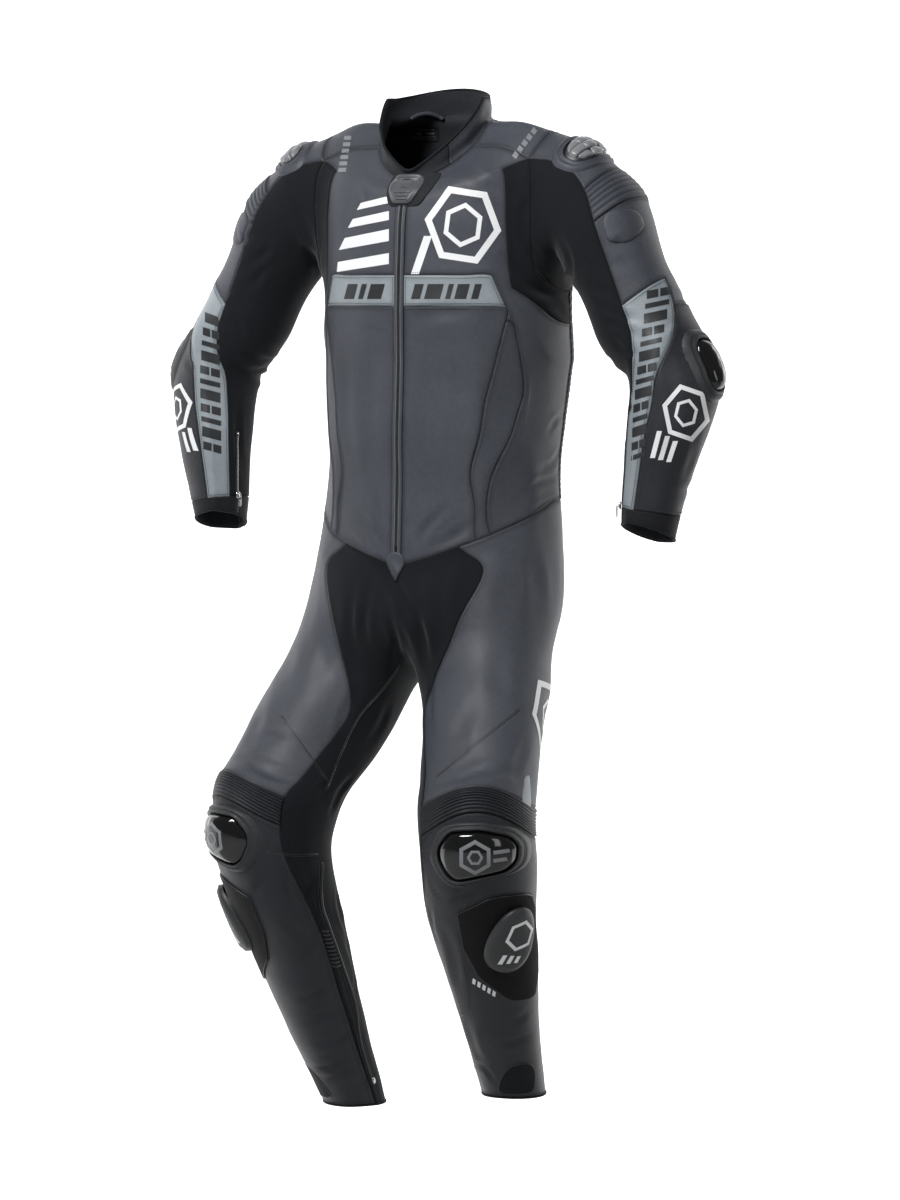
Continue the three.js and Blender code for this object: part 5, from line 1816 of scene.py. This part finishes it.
# The tab over the top of the zip and the flap under it.
neck = Seat("left", (0, -20, 0), (0, -1, 0))
flap = Sewing()
FLAP = [(-26, -37), (48, -36), (46, -50), (38, -66), (27, -82), (-22, -82), (-28, -64), (-30, -48)]
dome(flap, neck, resampled(rounded(FLAP, 7), 64), 1.9, 0.2, 0.4, 10, 0.6, 4)
flap_obj = place_part("neck_flap", flap, FLAP_CLOTH)
badge = Sewing()
BADGE = [(-19, -38.5), (19, -38.5), (27, -50), (22, -66), (13.5, -78.5)]
BADGE += [(-13.5, -78.5), (-22, -66), (-27, -50)]
badge_outline = resampled(rounded(BADGE, 5), 64)
dome(badge, neck, badge_outline, 5.2, 1.2, 1.6, 8, 1.4, 3)
tab_middle = badge_outline.mean(axis=0)
tab_edges = [mix(badge_outline, tab_middle, share) for share in (0.1, 0.24)]
roll(badge, neck, *tab_edges, [5.2, 7.0, 7.2, 6.0])
for half, b in ((13, -63), (10.5, -67.5), (8, -72)):
    bar = [(-half, b - 0.9), (half, b - 0.9), (half + 1, b + 0.9), (-half - 1, b + 0.9)]
    dome(badge, neck, resampled(rounded(bar, 0.8), 24), 7.6, 0.2, 5.5, 3, 0.4, 3)
emblem = resampled(rounded([(-12, -50.5), (-6, -44), (6, -44), (12, -50.5), (6, -57), (-6, -57)], 1.5), 36)
roll(badge, neck, emblem, mix(emblem, emblem.mean(axis=0), 0.3), [5.8, 7.9, 7.9, 5.8])
place_part("neck_badge", badge, BADGE_PLASTIC)
cover = Sewing()
arc = [(13.5 * sin(t), -569 + 14 * cos(t)) for t in range(-105, 106, 15)]
COVER = [*arc, (7, -586), (1.5, -595), (-1.5, -595), (-7, -586)]
cover_outline = resampled(np.array(COVER), 56)
dome(cover, neck, cover_outline[::-1], 2.6, 0.4, 0.3, 10, 0.8, 3)
cover_obj = place_part("zip_cover", cover, GREY_LEATHER)
sewn(part_thread, neck, mix(cover_outline, cover_outline.mean(axis=0), 0.2), 3.0)

# Inside the neck: a blank label and the hanging loop.
NECK_TURN = -43


def in_neck(turn, z, lift):
    way = Vector((sin(turn + NECK_TURN), cos(turn + NECK_TURN), 0))
    start_at = Vector((0, NECK_Y, z))
    hit, _, _, _ = final_tree.ray_cast(start_at, way)
    return np.array(hit) - np.array(way) * lift, np.array(way)


label = Sewing()
turns, heights = range(-13, 14, 2), (12, 18, 24, 30)
places = [(turn, z, WALL + lift) for lift in (1.0, 1.8) for z in heights for turn in turns]
grid_points = [in_neck(*at)[0] for at in places]
count = len(turns)
faces = [tuple(k + 4 * count for k in face) for face in grid_faces(3, count - 1)]
rim_ids = [*range(count), 2 * count - 1, 3 * count - 1, 4 * count - 1]
rim_ids += [*range(4 * count - 2, 3 * count - 1, -1), 2 * count, count]
for a, b in zip(rim_ids, rim_ids[1:] + rim_ids[:1]):
    faces.append((b, a, a + 4 * count, b + 4 * count))
label.add(grid_points, faces)
label_obj = place_part("label", label, LABEL_CLOTH)
label_marks = Sewing()
MARKS = [(26.4, 27.6, -8, 10), (20, 24, -7, 0), (20, 24, 3, 10), (17, 18, -9, 11), (14.4, 15.2, -9, 6)]
for z0, z1, t0, t1 in MARKS:
    row_points = [in_neck(turn, z, WALL + 2.1)[0] for z in (z0, z1) for turn in np.linspace(t0, t1, 5)]
    label_marks.add(row_points, [(k, k + 1, k + 6, k + 5) for k in range(4)])
label_marks.build("label_marks", GREY_PRINT)
loop_sewing = Sewing()
loop_path, loop_normals = [], []
for turn in np.linspace(-19, 19, 30):
    ease = 1 - (turn / 19) ** 2
    at, way = in_neck(turn, 41 + 8 * ease, WALL + 2.4 + 1.6 * ease)
    loop_path.append(at)
    loop_normals.append(-way)
loop_sewing.tube(np.array(loop_path), np.array(loop_normals), 3.0, 10, 0.55)
loop_obj = place_part("hanging_loop", loop_sewing, GREY_LEATHER)

# Cuff zips: a line of teeth down the inner front of each wrist, its slider and the pull tab.
# The wrist's middle: how far down, how far out and how far forward.
WRIST = [(375, 415, 455, 492, 525), (364, 358, 352, 346, 343), (-40, -47, -52, -56, -59)]
for side in SIDES:
    flip = sign(side)
    out = unit(np.array([-flip * 0.94, -0.34, 0]))
    path, normals = [], []
    for z in np.arange(-398, -521, -3.0):
        x, y = [np.interp(-z, WRIST[0], row) for row in WRIST[1:]]
        hit, normal, _, _ = final_tree.ray_cast(Vector((flip * x, y, z)), Vector(out))
        if hit is None:
            break
        path.append(np.array(hit))
        normals.append(out)
    path, normals = np.array(path), np.array(normals)
    welts_and_groove_shade.tube(path - normals * 0.2, normals, 3.0, 8, 0.35)
    cuff_teeth = Sewing()
    cuff_teeth.tube(path[:30] + normals[:30] * 0.8, normals[:30], 1.0, 8)
    cuff_teeth.build(f"cuff_zip_{side}", METAL)
    slider_box, pull_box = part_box(f"cuff_slider_{side}"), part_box(f"cuff_pull_{side}")
    middle = sum((np.array(c) for c in slider_box), np.zeros(3)) / 2 / MM
    down, wide = np.array([0, 0, -1.0]), np.cross(out, [0, 0, -1.0])
    body = Sewing()
    body.box(middle - out * 0.6, down, wide, out, (5.0, 3.4, 1.3))
    body.box(middle + down * 0.4 + out * 0.9, down, wide, out, (3.2, 1.1, 1.0))
    place_part(f"cuff_slider_{side}", body, METAL)
    middle = sum((np.array(c) for c in pull_box), np.zeros(3)) / 2 / MM
    tab = Sewing()
    turns = np.linspace(0, 2 * math.pi, 28)[:-1, None]
    ring_path = middle + down * (8.4 * np.sin(turns) + 0.4) + wide * 2.3 * np.cos(turns)
    tab.tube(ring_path, np.repeat(out[None], len(ring_path), axis=0), 0.75, 8, closed=True)
    tab.box(middle + down * 4.5, down, wide, out, (4.4, 2.2, 0.6))
    pull_obj = tab.build(f"cuff_pull_{side}_part", METAL, f"{side}_pull")
    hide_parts(f"cuff_pull_{side}")
part_thread.build("part_stitching", THREAD)
# Dark welts: zip tapes, edges and gathers, and painted shade in the grooves of the inner seams.
welts_and_groove_shade.build("welts_and_painted_groove_shade", SATIN_BLACK)
seam_thread.build("topstitching", THREAD)


# What each piece of cloth was cut to, as width and length in metres, how it is held, and what it
# hangs from. A piece that runs round a tube has the tube's girth as its width.
CUTS = {
    "collar_back": (0.042, 0.40, "hung", "back"),
    "collar_front": (0.032, 0.115, "stretched", "chest_left"),
    "back": (0.42, 0.56, "hung", "collar_back"),
    "chest": (0.20, 0.60, "hung", "collar_front"),
    "chest_band": (0.046, 0.135, "hung", "chest"),
    "front": (0.14, 0.36, "hung", "chest_band"),
    "waist_inset": (0.055, 0.30, "hung", "chest"),
    "side_strip": (0.03, 0.30, "stretched", "chest"),
    "underarm": (0.08, 0.24, "stretched", "chest"),
    "zip": (0.014, 0.54, "stretched", "chest_left"),
    "seat": (0.40, 0.20, "hung", "back"),
    "crotch": (0.50, 0.95, "stretched", "front_left"),
    "thigh": (0.36, 0.50, "hung", "front"),
    "knee_ribs": (0.26, 0.07, "gathered", "thigh"),
    "shin": (0.44, 0.48, "hung", "knee_ribs"),
    "shoulder": (0.14, 0.15, "hung", "chest"),
    "shoulder_ribs": (0.20, 0.06, "gathered", "shoulder"),
    "upper_arm": (0.17, 0.20, "hung", "shoulder_ribs"),
    "inner_sleeve": (0.24, 0.53, "stretched", "underarm"),
    "forearm": (0.20, 0.29, "hung", "upper_arm"),
    "forearm_strip": (0.075, 0.32, "hung", "upper_arm"),
    "cuff": (0.25, 0.034, "stretched", "forearm"),
}


def outer_area(name):
    corners_at = made[name]["verts"][np.asarray(made[name]["faces"])]
    a, b, c, d = corners_at.transpose(1, 0, 2)
    halves = np.linalg.norm(np.cross(b - a, c - a), axis=1) + np.linalg.norm(np.cross(c - a, d - a), axis=1)
    return float(halves.sum() / 2 * MM**2)


for name, obj in cloth.items():
    wide, long, held, above = CUTS[bare(name)]
    if above not in cloth:
        above = f"{above}_{'left' if name.endswith('_left') else 'right'}"
    round(outer_area(name), 5)


# Camera, floor and light, as in a studio.
TARGET = Vector(AIM * MM)
LENS = 36 * FOCAL / 1200

camera = bpy.data.objects.new("camera", bpy.data.cameras.new("camera"))
bpy.context.scene.collection.objects.link(camera)
eye = Vector((sin(AZIMUTH) * cos(ELEVATION), -cos(AZIMUTH) * cos(ELEVATION), sin(ELEVATION)))
camera.location = TARGET + eye * DISTANCE * MM
camera.rotation_euler = (TARGET - camera.location).to_track_quat("-Z", "Y").to_euler()
camera.data.lens = LENS
camera.data.sensor_width = 36
camera.data.sensor_height = 36
camera.data.sensor_fit = "VERTICAL"
camera.data.clip_end = 50
camera.data.dof.use_dof = False
bpy.context.scene.camera = camera

# A white sweep that glows a little stands behind the suit and under it.
FLOOR_Z = -1.54
SWEEP_BACK, SWEEP_BEND, SWEEP_WIDE, SWEEP_TALL = 4.5, 1.5, 12, 7
profile = [(-3, 0), (0.1, 0)]
for t in np.linspace(0, 90, 13):
    profile.append((SWEEP_BACK - SWEEP_BEND + SWEEP_BEND * sin(t), SWEEP_BEND * (1 - cos(t))))
profile.append((SWEEP_BACK, SWEEP_TALL))
verts = [(x, y, z) for y, z in profile for x in (-SWEEP_WIDE, SWEEP_WIDE)]
faces = [(2 * i, 2 * i + 1, 2 * i + 3, 2 * i + 2) for i in range(len(profile) - 1)]
sweep = object_of("sweep", mesh_of("sweep", verts, faces))
sweep.data.shade_smooth()
sweep.location.z = FLOOR_Z
sweep.rotation_euler.z = math.radians(AZIMUTH)
white = bpy.data.materials.new("white_sweep")
white.use_nodes = True
surface = white.node_tree.nodes["Principled BSDF"]
surface.inputs["Base Color"].default_value = (0.9, 0.9, 0.9, 1)
surface.inputs["Roughness"].default_value = 0.9
surface.inputs["Specular IOR Level"].default_value = 0.1
surface.inputs["Emission Color"].default_value = (1, 1, 1, 1)
surface.inputs["Emission Strength"].default_value = 0.9
dim = bpy.data.materials.new("white_floor_in_front")
dim.use_nodes = True
dim_surface = dim.node_tree.nodes["Principled BSDF"]
dim_surface.inputs["Base Color"].default_value = (0.5, 0.5, 0.5, 1)
dim_surface.inputs["Roughness"].default_value = 0.9
sweep.data.materials.append(white)
sweep.data.materials.append(dim)
sweep.data.polygons[0].material_index = 1

world = bpy.data.worlds.new("studio")
world.use_nodes = True
world.node_tree.nodes["Background"].inputs["Color"].default_value = (1, 1, 1, 1)
world.node_tree.nodes["Background"].inputs["Strength"].default_value = 0.14
bpy.context.scene.world = world
bpy.context.scene.view_settings.view_transform = "Standard"


def softbox(name, turn, rise, away, size, power):
    """A square lamp, placed by its angle from the camera's side, its height and its distance."""
    light = bpy.data.objects.new(name, bpy.data.lights.new(name, "AREA"))
    light.data.shape = "RECTANGLE"
    light.data.size, light.data.size_y = size
    light.data.energy = power
    way = Vector((sin(turn + AZIMUTH) * cos(rise), -cos(turn + AZIMUTH) * cos(rise), sin(rise)))
    light.location = TARGET + way * away
    light.rotation_euler = (-way).to_track_quat("-Z", "Y").to_euler()
    bpy.context.scene.collection.objects.link(light)


softbox("key", -36, 44, 3.6, (1.0, 1.0), 126)
softbox("fill", 46, 14, 4.0, (1.0, 2.2), 17)
softbox("left_edge", -126, 12, 2.8, (0.5, 2.4), 6)
softbox("right_edge", 120, 14, 2.8, (0.5, 2.4), 10)
